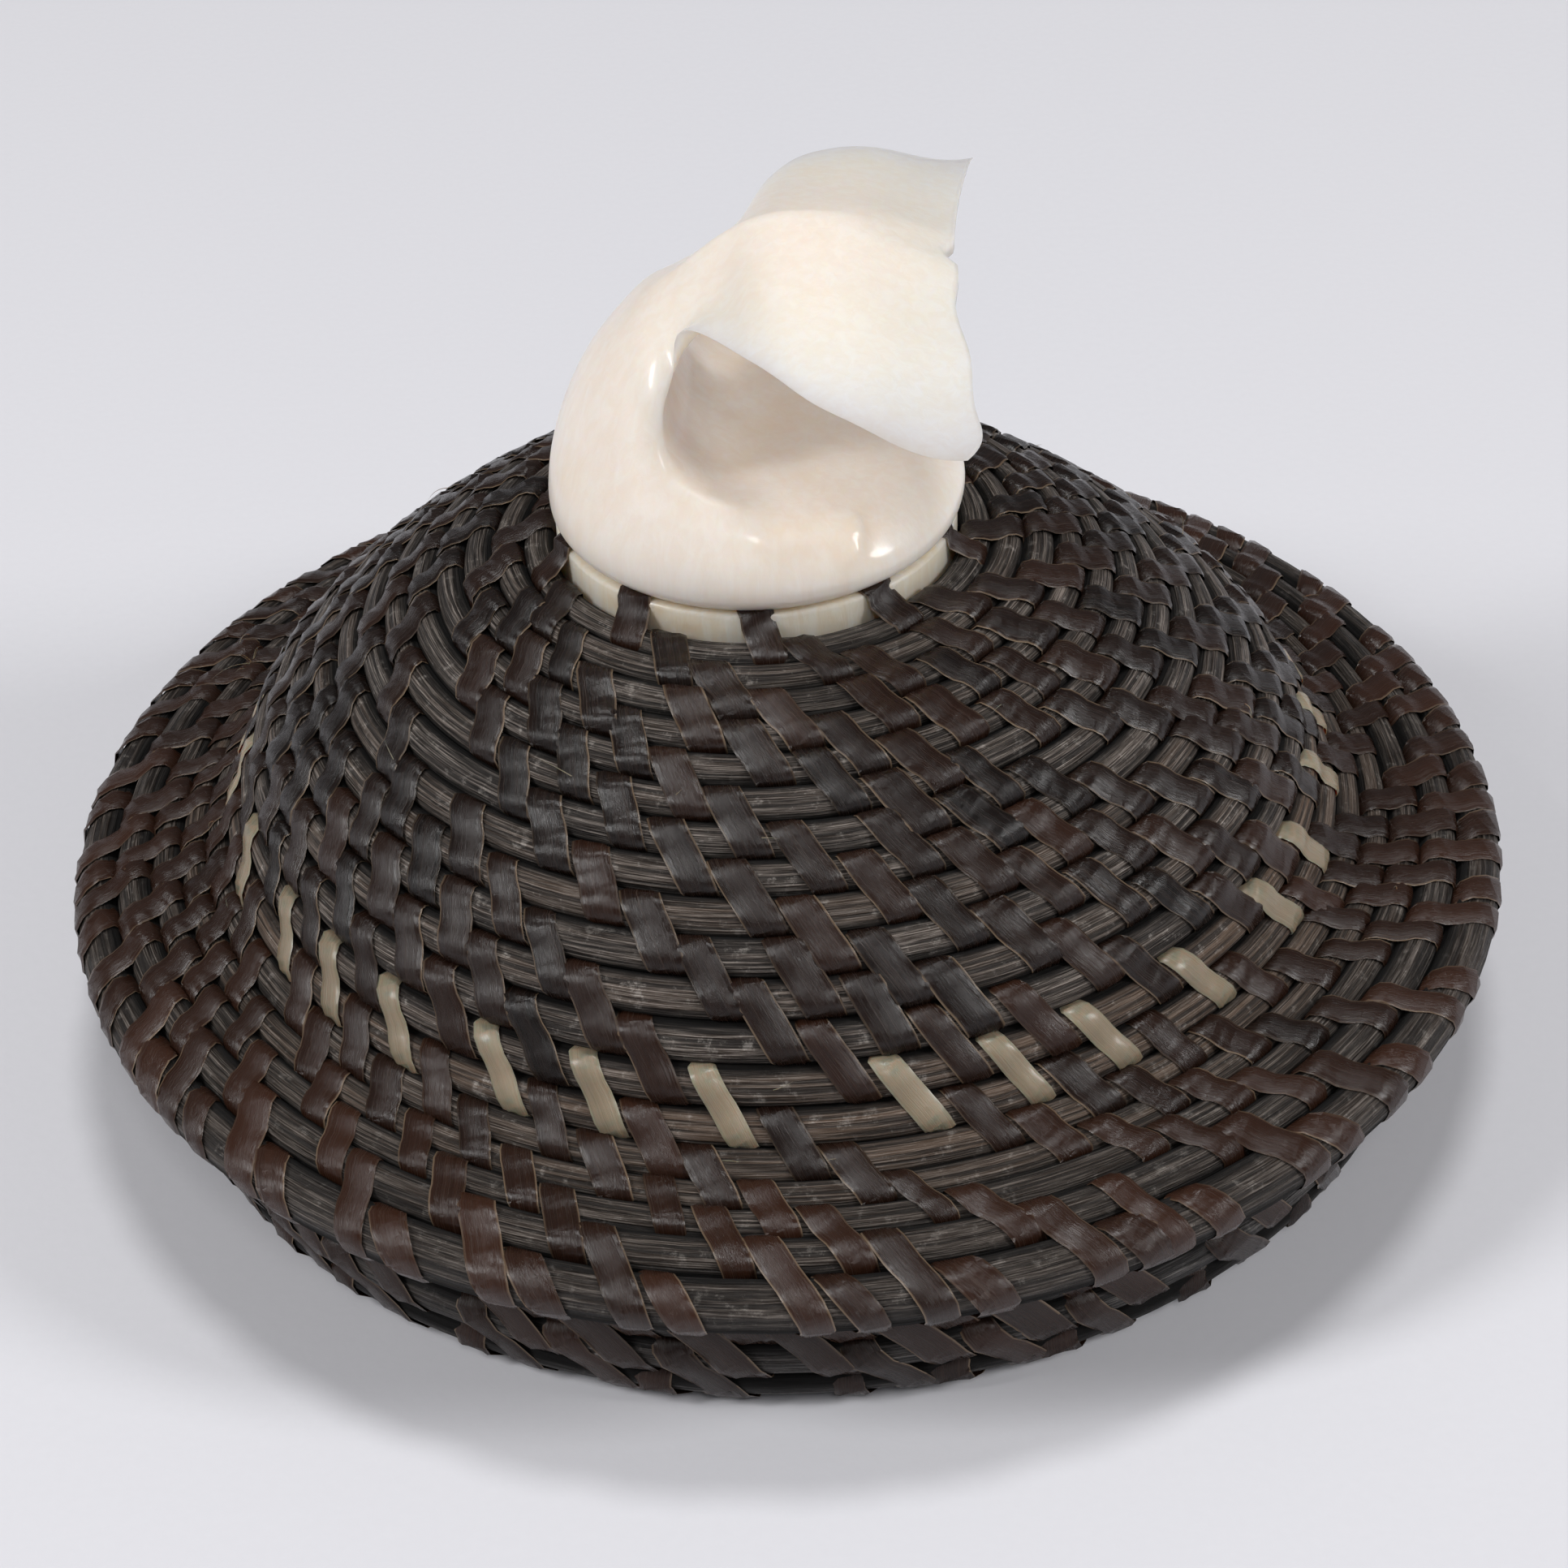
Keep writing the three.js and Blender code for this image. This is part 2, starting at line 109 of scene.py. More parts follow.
@dataclass
class Wall:
    """A coiled wall walked from its first loop to its last.

    A step along the wall advances by the local rod and gap; radius and height add up the cosine
    and the sine of the local slope.
    """

    plan: WallPlan
    steps_per_loop: int = 24
    step_up_share: float = 0.3
    along: np.ndarray = field(init=False)
    radius: np.ndarray = field(init=False)
    height: np.ndarray = field(init=False)
    slope: np.ndarray = field(init=False)

    def __post_init__(self) -> None:
        """Adds up the walk as whole arrays."""
        plan = self.plan
        steps = (plan.loops - 1) * self.steps_per_loop
        middle = (np.arange(steps) + 0.5) / self.steps_per_loop
        stride = (self.rod_at(middle) + plan.gap) / self.steps_per_loop
        slope = self.slope_at(middle)
        self.along = np.concatenate([[0.0], np.cumsum(stride)])
        self.radius = plan.radius + np.concatenate([[0.0], np.cumsum(np.cos(slope) * stride)])
        self.height = plan.height + np.concatenate([[0.0], np.cumsum(np.sin(slope) * stride)])
        self.slope = self.slope_at(np.arange(steps + 1) / self.steps_per_loop)

    def rod_at(self, loop: np.ndarray) -> np.ndarray:
        """Rod diameter at a loop, read from the table of shares."""
        return self.plan.rod * read_table(self.plan.rod_shares, np.asarray(loop) / (self.plan.loops - 1))

    def slope_at(self, loop: np.ndarray) -> np.ndarray:
        """Slope of the wall at a loop, in radians."""
        return np.radians(read_table(self.plan.slopes, np.asarray(loop) / (self.plan.loops - 1)))

    def rod_on_turn(self, turn: np.ndarray) -> tuple[np.ndarray, np.ndarray, np.ndarray, np.ndarray]:
        """Rod at a number of turns from the coil's start.

        Each loop holds its place on the wall, then steps up smoothly to the next in the last part
        of its turn. Before the first loop and in the last step, the rod is shaved to fill the step.

        Args:
            turn: Turns, from a little below 0 to the number of loops.

        Returns:
            Radius, height, slope and thickness, in millimetres and radians.
        """
        plan = self.plan
        last = plan.loops - 1
        count = np.arange(len(self.along)) / self.steps_per_loop
        whole = np.floor(turn)
        share = np.clip((turn - whole - 1.0 + self.step_up_share) / self.step_up_share, 0.0, 1.0)
        risen = share * share * (3.0 - 2.0 * share)

        def along_at(loop: np.ndarray) -> np.ndarray:
            """Distance along the wall at a loop."""
            return np.interp(loop, count, self.along)

        loop = np.clip(whole + risen, 0.0, last)
        along, thick = along_at(loop), self.rod_at(loop)
        start_edge = -self.rod_at(0.0) / 2
        tip = along_at(risen) - self.rod_at(risen) / 2 - start_edge - plan.gap
        end_edge = along_at(last) + self.rod_at(last) / 2
        tail = end_edge - along_at(last - 1 + risen) - self.rod_at(last - 1 + risen) / 2 - plan.gap
        along = np.where(turn < 0, start_edge + tip / 2, np.where(turn >= last, end_edge - tail / 2, along))
        thick = np.where(turn < 0, tip, np.where(turn >= last, tail, thick))
        inside = np.clip(along, 0.0, self.along[-1])
        slope = np.interp(inside, self.along, self.slope)
        radius = np.interp(inside, self.along, self.radius) + (along - inside) * np.cos(slope)
        height = np.interp(inside, self.along, self.height) + (along - inside) * np.sin(slope)
        return radius, height, slope, thick

    def leaned(self, radius: np.ndarray, height: np.ndarray, angle: np.ndarray) -> np.ndarray:
        """Points at a radius, height and angle, slid sideways in step with the height as the wall leans.

        Args:
            radius: Distances from the axis, in millimetres.
            height: Heights, in millimetres.
            angle: Angles round the axis.

        Returns:
            Points in metres, on a last axis of three.
        """
        first, last = self.height[0], self.height[-1]
        risen = (height - last) / (first - last) if abs(first - last) > 1e-9 else 0.0 * height
        x = radius * np.cos(angle) + self.plan.lean[0] * risen
        y = radius * np.sin(angle) + self.plan.lean[1] * risen
        return np.stack([x, y, height + 0.0 * angle], axis=-1) * MM


LEVEL: Table = even(1.0)
LID_RODS: Table = (
    (0.00, 0.88), (0.22, 0.94), (0.50, 1.08), (0.68, 1.18), (0.78, 0.96),
    (0.84, 0.84), (0.90, 0.93), (0.95, 1.18), (1.00, 1.48),
)
LID_SLOPES: Table = (
    (0.00, -6.0), (0.06, -14.0), (0.17, -29.0), (0.33, -39.0), (0.50, -42.0), (0.56, -49.0), (0.61, -62.0),
    (0.67, -67.0), (0.72, -54.0), (0.78, -31.0), (0.83, -13.0), (0.89, -9.0), (0.94, -16.0), (1.00, -31.0),
)
BODY_SLOPES: Table = ((0.0, 0.0), (0.7, 0.0), (0.8, 84.0), (1.0, 90.0))
COLLAR_SLOPES: Table = ((0.0, -90.0), (1.0, -90.0))


@dataclass(frozen=True)
class BasketSizes:
    """Driving sizes in millimetres, as in the part's source."""

    lid_rod: float = 2.48
    body_rod: float = 3.4
    collar_rod: float = 3.0
    splint: float = 0.3
    gap: float = 0.5
    body_gap: float = 0.65
    lid_disc_radius: float = 17.1
    lid_disc_thickness: float = 4.4
    lid_disc_rise: float = 2.0
    base_disc_radius: float = 16.8
    base_disc_thickness: float = 3.4
    stitch_hole_inset: float = 3.0
    seat_gap: float = 0.7
    collar_clearance: float = 1.1
    lean_x: float = -1.5
    lean_y: float = 1.0
    lid_loops: int = 19
    body_loops: int = 13
    collar_loops: int = 2


@dataclass
class Walls:
    """The three coiled walls and the heights that place the lid's disc and finial."""

    sizes: BasketSizes
    body: Wall = field(init=False)
    lid: Wall = field(init=False)
    collar: Wall = field(init=False)
    lid_lift: float = field(init=False)

    def __post_init__(self) -> None:
        """Seats the lid's wall on the body's mouth and hangs the collar under it."""
        size = self.sizes
        self.body = Wall(WallPlan(
            radius=size.base_disc_radius + size.body_gap + size.body_rod / 2,
            height=size.splint + size.body_rod / 2,
            loops=size.body_loops, rod=size.body_rod, gap=size.body_gap,
            rod_shares=LEVEL, slopes=BODY_SLOPES,
        ))
        first_radius = size.lid_disc_radius + size.gap + size.lid_rod * LID_RODS[0][1] / 2
        lid_plan = dict(
            radius=first_radius, loops=size.lid_loops, rod=size.lid_rod, gap=size.gap,
            rod_shares=LID_RODS, slopes=LID_SLOPES, lean=(size.lean_x, size.lean_y),
        )
        at_zero = Wall(WallPlan(height=0.0, **lid_plan))
        mouth_radius, mouth_height = self.body.radius[-1], self.body.height[-1]
        seat_height, seat_slope = self._on_wall(at_zero, mouth_radius)
        self.lid_lift = float(
            mouth_height + size.body_rod / 2 + size.seat_gap
            + size.lid_rod / 2 / math.cos(seat_slope) - seat_height
        )
        self.lid = Wall(WallPlan(height=self.lid_lift, **lid_plan))
        collar_radius = mouth_radius - size.body_rod / 2 - size.collar_clearance - size.collar_rod / 2
        under_height, under_slope = self._on_wall(at_zero, collar_radius)
        drop = (size.lid_rod + size.collar_rod) / 2 + size.gap
        self.collar = Wall(WallPlan(
            radius=collar_radius,
            height=self.lid_lift + under_height - drop / math.cos(under_slope),
            loops=size.collar_loops, rod=size.collar_rod, gap=size.gap,
            rod_shares=LEVEL, slopes=COLLAR_SLOPES,
        ))

    @staticmethod
    def _on_wall(wall: Wall, radius: float) -> tuple[float, float]:
        """Height and slope, at one radius, of a wall that widens all the way."""
        height, slope = (np.interp(radius, wall.radius, values) for values in (wall.height, wall.slope))
        return float(height), float(slope)

    def disc_underside(self) -> float:
        """Height of the underside of the lid's disc."""
        size = self.sizes
        return self.lid_lift + float(self.lid.rod_at(0)) / 2 + size.lid_disc_rise - size.lid_disc_thickness


# Meshes from arrays


def smooth_noise(count: int, cells: int, seed: int) -> np.ndarray:
    """Repeating smooth noise in -1..1: random values at evenly spaced cells, joined by cosine steps.

    Args:
        count: Number of samples.
        cells: Number of random values round the loop.
        seed: Seed of the random values.

    Returns:
        One value per sample.
    """
    values = np.random.default_rng(seed).uniform(-1.0, 1.0, cells)
    place = np.arange(count) / count * cells
    index = place.astype(int)
    share = 0.5 - 0.5 * np.cos((place - index) * math.pi)
    return values[index % cells] * (1.0 - share) + values[(index + 1) % cells] * share


def mesh_object(name: str, points: np.ndarray, faces: np.ndarray, smooth: bool = True) -> bpy.types.Object:
    """Object whose mesh holds the points and the faces as they are.

    Args:
        name: Name of the piece.
        points: Array of (count, 3) in metres.
        faces: Array of (count, corners) of point indices.
        smooth: Whether the faces are shaded smooth.

    Returns:
        The object, at the origin and linked to the scene.
    """
    mesh = bpy.data.meshes.new(name)
    corners = faces.shape[1]
    mesh.vertices.add(len(points))
    mesh.vertices.foreach_set("co", points.astype(np.float32).ravel())
    mesh.loops.add(faces.size)
    mesh.loops.foreach_set("vertex_index", faces.astype(np.int32).ravel())
    mesh.polygons.add(len(faces))
    mesh.polygons.foreach_set("loop_start", np.arange(0, faces.size, corners, dtype=np.int32))
    mesh.update(calc_edges=True)
    mesh.polygons.foreach_set("use_smooth", np.full(len(faces), smooth))
    mesh.validate()
    piece = bpy.data.objects.new(name, mesh)
    bpy.context.scene.collection.objects.link(piece)
    return piece


def grid_faces(rows: int, columns: int, wrap_rows: bool, wrap_columns: bool) -> np.ndarray:
    """Quads of a grid of points, row by row, closed along either way where asked.

    Args:
        rows: Rows of points.
        columns: Points in each row.
        wrap_rows: Whether the last row joins the first.
        wrap_columns: Whether each row is closed.

    Returns:
        Array of (count, 4) point indices.
    """
    row = np.arange(rows if wrap_rows else rows - 1)[:, None]
    column = np.arange(columns if wrap_columns else columns - 1)[None, :]
    next_row, next_column = (row + 1) % rows, (column + 1) % columns
    quads = [row * columns + column, row * columns + next_column,
             next_row * columns + next_column, next_row * columns + column]
    return np.stack([quad + 0 * row + 0 * column for quad in quads], axis=-1).reshape(-1, 4)


def copied_faces(faces: np.ndarray, points: int, copies: int) -> np.ndarray:
    """Faces of a shape that is there many times, its copies' points one after another.

    Args:
        faces: Array of (count, corners) point indices of the first.
        points: Points of each copy.
        copies: Number of copies.

    Returns:
        Array of (count, corners) point indices of them all.
    """
    return (faces[None] + (np.arange(copies) * points)[:, None, None]).reshape(-1, faces.shape[1])


def set_uv(piece: bpy.types.Object, uv: np.ndarray) -> None:
    """Gives the piece a UV map from one pair per face corner."""
    layer = piece.data.uv_layers.new(name="run")
    layer.data.foreach_set("uv", uv.astype(np.float32).ravel())


def set_tone(piece: bpy.types.Object, name: str, values: np.ndarray) -> None:
    """Stores one number per point under a name that the materials read."""
    attribute = piece.data.attributes.new(name, "FLOAT", "POINT")
    attribute.data.foreach_set("value", values.astype(np.float32).ravel())


def grid_uv(u: np.ndarray, v: np.ndarray) -> np.ndarray:
    """UV pairs of every quad corner of a grid, in the order of grid_faces.

    Args:
        u: Values at the rows' lines, one more than there are rows of quads.
        v: Values at the columns' lines, one more than there are columns of quads.

    Returns:
        Array of (corners, 2).
    """
    low_u, low_v = np.meshgrid(u[:-1], v[:-1], indexing="ij")
    high_u, high_v = np.meshgrid(u[1:], v[1:], indexing="ij")
    corners = [(low_u, low_v), (low_u, high_v), (high_u, high_v), (high_u, low_v)]
    return np.stack([np.stack(pair, axis=-1) for pair in corners], axis=2).reshape(-1, 2)


def dress(piece: bpy.types.Object, material: bpy.types.Material, slot: Slot, body: Body,
          *nodes: str) -> None:
    """Gives a piece its material, and sets it riding on its body.

    Args:
        piece: The piece.
        material: Its finish.
        slot: The record's material that it takes the place of; not used.
        body: The body that it rides on.
        nodes: CAD nodes that it stands for, which are hidden.
    """
    piece.data.materials.append(material)
    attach(piece, body.value)
    if nodes:
        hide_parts(*nodes)
    LOG.info("%s: %d faces on %s", piece.name, len(piece.data.polygons), body.value)


# Finishes

Colour = tuple[float, float, float, float]
Span = tuple[float, float]


class NodeBench:
    """Short calls for the nodes of one tree. A feed is a socket, a number or a colour."""

    def __init__(self, tree: bpy.types.NodeTree) -> None:
        """Starts on a tree."""
        self.tree = tree

    def node(self, kind: str, **settings: object) -> bpy.types.Node:
        """New node with its own settings.

        Args:
            kind: Type of the node, without the words that all shader nodes start with.
            settings: Values of its properties by name.

        Returns:
            The node.
        """
        node = self.tree.nodes.new("ShaderNode" + kind)
        for name, value in settings.items():
            setattr(node, name, value)
        return node

    def feed(self, socket: bpy.types.NodeSocket, value: object) -> None:
        """Joins a socket to an input, or sets a number or a colour on it.

        Args:
            socket: The input.
            value: The feed.
        """
        if isinstance(value, bpy.types.NodeSocket):
            self.tree.links.new(value, socket)
        else:
            socket.default_value = value

    def result(self, node: bpy.types.Node, *values: object) -> bpy.types.NodeSocket:
        """First output of a node whose inputs are fed in order.

        Args:
            node: The node.
            values: Feeds of its first inputs.

        Returns:
            The output.
        """
        for socket, value in zip(node.inputs, values):
            self.feed(socket, value)
        return node.outputs[0]

    def maths(self, operation: str, *values: object) -> bpy.types.NodeSocket:
        """Sum, product or the like of numbers."""
        return self.result(self.node("Math", operation=operation), *values)

    def vector_maths(self, operation: str, *values: object) -> bpy.types.NodeSocket:
        """Sum, product or the like of places."""
        return self.result(self.node("VectorMath", operation=operation), *values)

    def vector(self, *parts: object) -> bpy.types.NodeSocket:
        """A place made of three numbers."""
        return self.result(self.node("CombineXYZ"), *parts)

    def times(self, first: object, second: object) -> bpy.types.NodeSocket:
        """Product of two feeds."""
        return self.maths("MULTIPLY", first, second)

    def plus(self, first: object, second: object) -> bpy.types.NodeSocket:
        """Sum of two feeds."""
        return self.maths("ADD", first, second)

    def away(self, source: object, middle: float) -> bpy.types.NodeSocket:
        """Distance of a number from a middle."""
        return self.maths("ABSOLUTE", self.maths("SUBTRACT", source, middle))

    def object_point(self) -> bpy.types.NodeSocket:
        """The place on the piece, in metres."""
        return self.node("TexCoord").outputs["Object"]

    def across(self, run: bpy.types.NodeSocket) -> bpy.types.NodeSocket:
        """The part of a map that runs across a strip or round a rod, from 0 to 1.

        Args:
            run: The map.

        Returns:
            The part of it.
        """
        node = self.node("SeparateXYZ")
        self.feed(node.inputs[0], run)
        return node.outputs[1]

    def noise(self, place: object, scale: object, detail: float = 2.0, rough: float = 0.5,
              twist: float = 0.0) -> bpy.types.Node:
        """Noise node.

        Args:
            place: Where it is read.
            scale: Feed of its scale.
            detail: Number of finer layers.
            rough: Strength of each finer layer.
            twist: Distortion.

        Returns:
            The node, whose Fac output is the noise.
        """
        node = self.node("TexNoise")
        names = ("Vector", "Scale", "Detail", "Roughness", "Distortion")
        for name, value in zip(names, (place, scale, detail, rough, twist)):
            self.feed(node.inputs[name], value)
        return node

    def between(self, source: bpy.types.NodeSocket, span: Span,
                to: Span = (0.0, 1.0)) -> bpy.types.NodeSocket:
        """Number carried smoothly from one span to another.

        Args:
            source: The number.
            span: Where the rise starts and ends.
            to: Results there.

        Returns:
            The carried number.
        """
        node = self.node("MapRange", interpolation_type="SMOOTHSTEP")
        names = ("Value", "From Min", "From Max", "To Min", "To Max")
        for name, value in zip(names, (source, *span, *to)):
            self.feed(node.inputs[name], value)
        return node.outputs["Result"]

    def blend(self, share: object, low: object, high: object) -> bpy.types.NodeSocket:
        """Mix of two colours.

        Args:
            share: Share of the second colour.
            low: First colour.
            high: Second colour.

        Returns:
            The mixed colour.
        """
        node = self.node("Mix", data_type="RGBA")
        for index, value in ((0, share), (6, low), (7, high)):
            self.feed(node.inputs[index], value)
        return node.outputs[2]


class SharedGroup(NodeBench):
    """A node group with one vector input, number inputs and number outputs, placed in several materials."""

    def __init__(self, name: str, reads: str, writes: tuple[str, ...], **numbers: float) -> None:
        """Starts the group with its sockets.

        Args:
            name: Name of the group.
            reads: Name of its vector input.
            writes: Names of its outputs.
            numbers: First values of its number inputs by name.
        """
        super().__init__(bpy.data.node_groups.new(name, "ShaderNodeTree"))
        face = self.tree.interface
        face.new_socket(reads, in_out="INPUT", socket_type="NodeSocketVector")
        for label, value in numbers.items():
            face.new_socket(label, in_out="INPUT", socket_type="NodeSocketFloat").default_value = value
        for label in writes:
            face.new_socket(label, in_out="OUTPUT", socket_type="NodeSocketFloat")
        self.given = self.tree.nodes.new("NodeGroupInput")
        self.out = self.tree.nodes.new("NodeGroupOutput")

    def read(self, name: str) -> bpy.types.NodeSocket:
        """What a material gives the group under a name."""
        return self.given.outputs[name]

    def write(self, name: str, source: bpy.types.NodeSocket) -> None:
        """Puts a number out under a name."""
        self.feed(self.out.inputs[name], source)


def fibre_group() -> bpy.types.NodeTree:
    """Lengthwise fibres: fine and coarse noise on a map stretched along the run, and patches of dust.

    Returns:
        The group, which makes Fibre, Coarse and Dust.
    """
    group = SharedGroup(
        "lengthwise fibres", "Map", ("Fibre", "Coarse", "Dust"), Along=90.0, Across=40.0, Shift=0.0,
    )
    stretch = group.vector(group.read("Along"), group.read("Across"))
    stretched = group.vector_maths("MULTIPLY", group.read("Map"), stretch)
    moved = group.vector_maths("ADD", stretched, group.vector(0.0, 0.0, group.read("Shift")))
    dust = group.noise(group.object_point(), scale=700.0, detail=6.0, rough=0.75)
    group.write("Fibre", group.noise(moved, scale=1.0, detail=6.0, rough=0.72).outputs["Fac"])
    group.write("Coarse", group.noise(moved, scale=0.28, detail=3.0).outputs["Fac"])
    group.write("Dust", dust.outputs["Fac"])
    return group.tree


def edge_group() -> bpy.types.NodeTree:
    """Cut edges and dome of a splint, from the map's across value.

    The edge is 1 at both rims, broken up by a noise along them. The dome is one less four times the
    square of the distance from the middle.

    Returns:
        The group, which makes Edge and Dome.
    """
    group = SharedGroup("cut edges", "Map", ("Edge", "Dome"), Width=0.06, Shift=0.0)
    away = group.away(group.across(group.read("Map")), 0.5)
    group.write("Dome", group.maths("MULTIPLY_ADD", group.times(away, away), -4.0, 1.0))
    wander = group.noise(group.read("Map"), scale=320.0, detail=3.0)
    wander.noise_dimensions = "4D"
    group.feed(wander.inputs["W"], group.read("Shift"))
    reach = group.times(wander.outputs["Fac"], group.read("Width"))
    group.write("Edge", group.between(group.plus(away, reach), span=(0.475, 0.51)))
    return group.tree


def mottle_group() -> bpy.types.NodeTree:
    """Ivory's grain, mottling and pores: noise drawn out along the height, broad patches and fine specks.

    Returns:
        The group, which makes Line, Patch and Pore.
    """
    group = SharedGroup("ivory mottle", "Point", ("Line", "Patch", "Pore"), Lines=260.0, Patches=60.0)
    point = group.read("Point")
    drawn_out = group.vector_maths("MULTIPLY", point, (1.0, 1.0, 0.16))
    line = group.noise(drawn_out, group.read("Lines"), detail=5.0, rough=0.62, twist=0.6)
    group.write("Line", line.outputs["Fac"])
    group.write("Patch", group.noise(point, group.read("Patches"), detail=4.0, rough=0.6).outputs["Fac"])
    group.write("Pore", group.noise(point, scale=1500.0).outputs["Fac"])
    return group.tree


class Shading(NodeBench):
    """One material: its nodes and its Principled shader."""

    def __init__(self, name: str) -> None:
        """Starts a material.

        Args:
            name: Its name.
        """
        self.material = bpy.data.materials.new(name)
        self.material.use_nodes = True
        super().__init__(self.material.node_tree)
        self.shader = self.tree.nodes["Principled BSDF"]

    def place(self, group: bpy.types.NodeTree, **inputs: object) -> bpy.types.NodeOutputs:
        """Places a shared group with its own values.

        Args:
            group: The group.
            inputs: Feeds by the group's input names.

        Returns:
            The outputs of the placed group.
        """
        node = self.node("Group", node_tree=group)
        for name, value in inputs.items():
            self.feed(node.inputs[name], value)
        return node.outputs

    def value(self, name: str, number: object) -> None:
        """Sets one of the shader's own sockets."""
        self.shader.inputs[name].default_value = number

    def run_uv(self) -> bpy.types.NodeSocket:
        """The piece's own map: along in metres, across from 0 to 1."""
        return self.node("UVMap", uv_map="run").outputs["UV"]

    def tone(self, name: str) -> bpy.types.NodeSocket:
        """A number stored on the piece's points."""
        return self.node("Attribute", attribute_name=name).outputs["Fac"]

    def finish(self, colour: bpy.types.NodeSocket, roughness: bpy.types.NodeSocket,
               height: bpy.types.NodeSocket, depth: float) -> bpy.types.Material:
        """Joins a surface's colour, roughness and bump to the shader.

        Args:
            colour: Base colour.
            roughness: Roughness.
            height: Height of the bump, about 0 to 1.
            depth: Depth of the bump in metres.

        Returns:
            The finished material.
        """
        bump = self.node("Bump")
        for name, value in (("Strength", 1.0), ("Distance", depth), ("Height", height)):
            self.feed(bump.inputs[name], value)
        self.feed(self.shader.inputs["Base Color"], colour)
        self.feed(self.shader.inputs["Roughness"], roughness)
        self.feed(self.shader.inputs["Normal"], bump.outputs["Normal"])
        return self.material


@dataclass(frozen=True)
class RodFinish:
    """Bundled baleen of the coils: near black, with dusty grey and brown fibres along it."""

    name: str = "baleen rod"
    dark: Colour = (0.0085, 0.0068, 0.0060, 1.0)
    grey: Colour = (0.400, 0.352, 0.314, 1.0)
    brown: Colour = (0.160, 0.100, 0.064, 1.0)
    dust: Colour = (0.60, 0.55, 0.50, 1.0)
    # Painted shade: near-black colour laid on the rod's sides, where the grooves between rods lie in shade.
    groove_shade: Colour = (0.0030, 0.0026, 0.0024, 1.0)
    fibres_along: float = 210.0
    fibres_across: float = 86.0
    streak_span: Span = (0.42, 0.68)
    coarse_span: Span = (0.38, 0.60)
    thinnest_fibres: float = 0.16
    dust_span: Span = (0.54, 0.68)
    dust_cover: float = 0.56
    dust_off_streaks: float = 0.3
    groove_shade_span: Span = (0.05, 0.165)
    groove_shade_cover: float = 0.97
    roughness: float = 0.38
    dusty_roughness: float = 0.62
    specular: float = 0.24
    fine_depth: float = 0.7
    depth: float = 0.00022

    def build(self, fibres: bpy.types.NodeTree) -> bpy.types.Material:
        """Fibres along the rod, dust in patches, painted shade darkening its sides towards the grooves, and
        a bump of the fibres.

        Args:
            fibres: The group of lengthwise fibres.

        Returns:
            The material.
        """
        shade = Shading(self.name)
        run = shade.run_uv()
        grain = shade.place(fibres, Map=run, Along=self.fibres_along, Across=self.fibres_across)
        pallor = shade.tone("pallor")
        streak = shade.between(grain["Fibre"], self.streak_span)
        coarse = shade.between(grain["Coarse"], self.coarse_span, (self.thinnest_fibres, 1.0))
        base = shade.blend(shade.times(shade.times(streak, coarse), pallor), self.dark, self.grey)
        tinted = shade.blend(shade.times(coarse, shade.tone("warmth")), base, self.brown)
        patches = shade.between(grain["Dust"], self.dust_span)
        dusty = shade.times(patches, shade.plus(streak, self.dust_off_streaks))
        dusted = shade.blend(shade.times(shade.times(dusty, self.dust_cover), pallor), tinted, self.dust)
        # Painted shade: the sides of the rod, towards the grooves between rods, are painted near black.
        from_side = shade.away(shade.away(shade.across(run), 0.5), 0.25)
        side = shade.between(from_side, self.groove_shade_span, (self.groove_shade_cover, 0.0))
        colour = shade.blend(side, dusted, self.groove_shade)
        dull = shade.between(grain["Dust"], (0.3, 0.7), (self.roughness, self.dusty_roughness))
        height = shade.plus(shade.times(grain["Fibre"], self.fine_depth), coarse)
        shade.value("Specular IOR Level", self.specular)
        return shade.finish(colour, shade.maths("MAXIMUM", dull, side), height, self.depth)


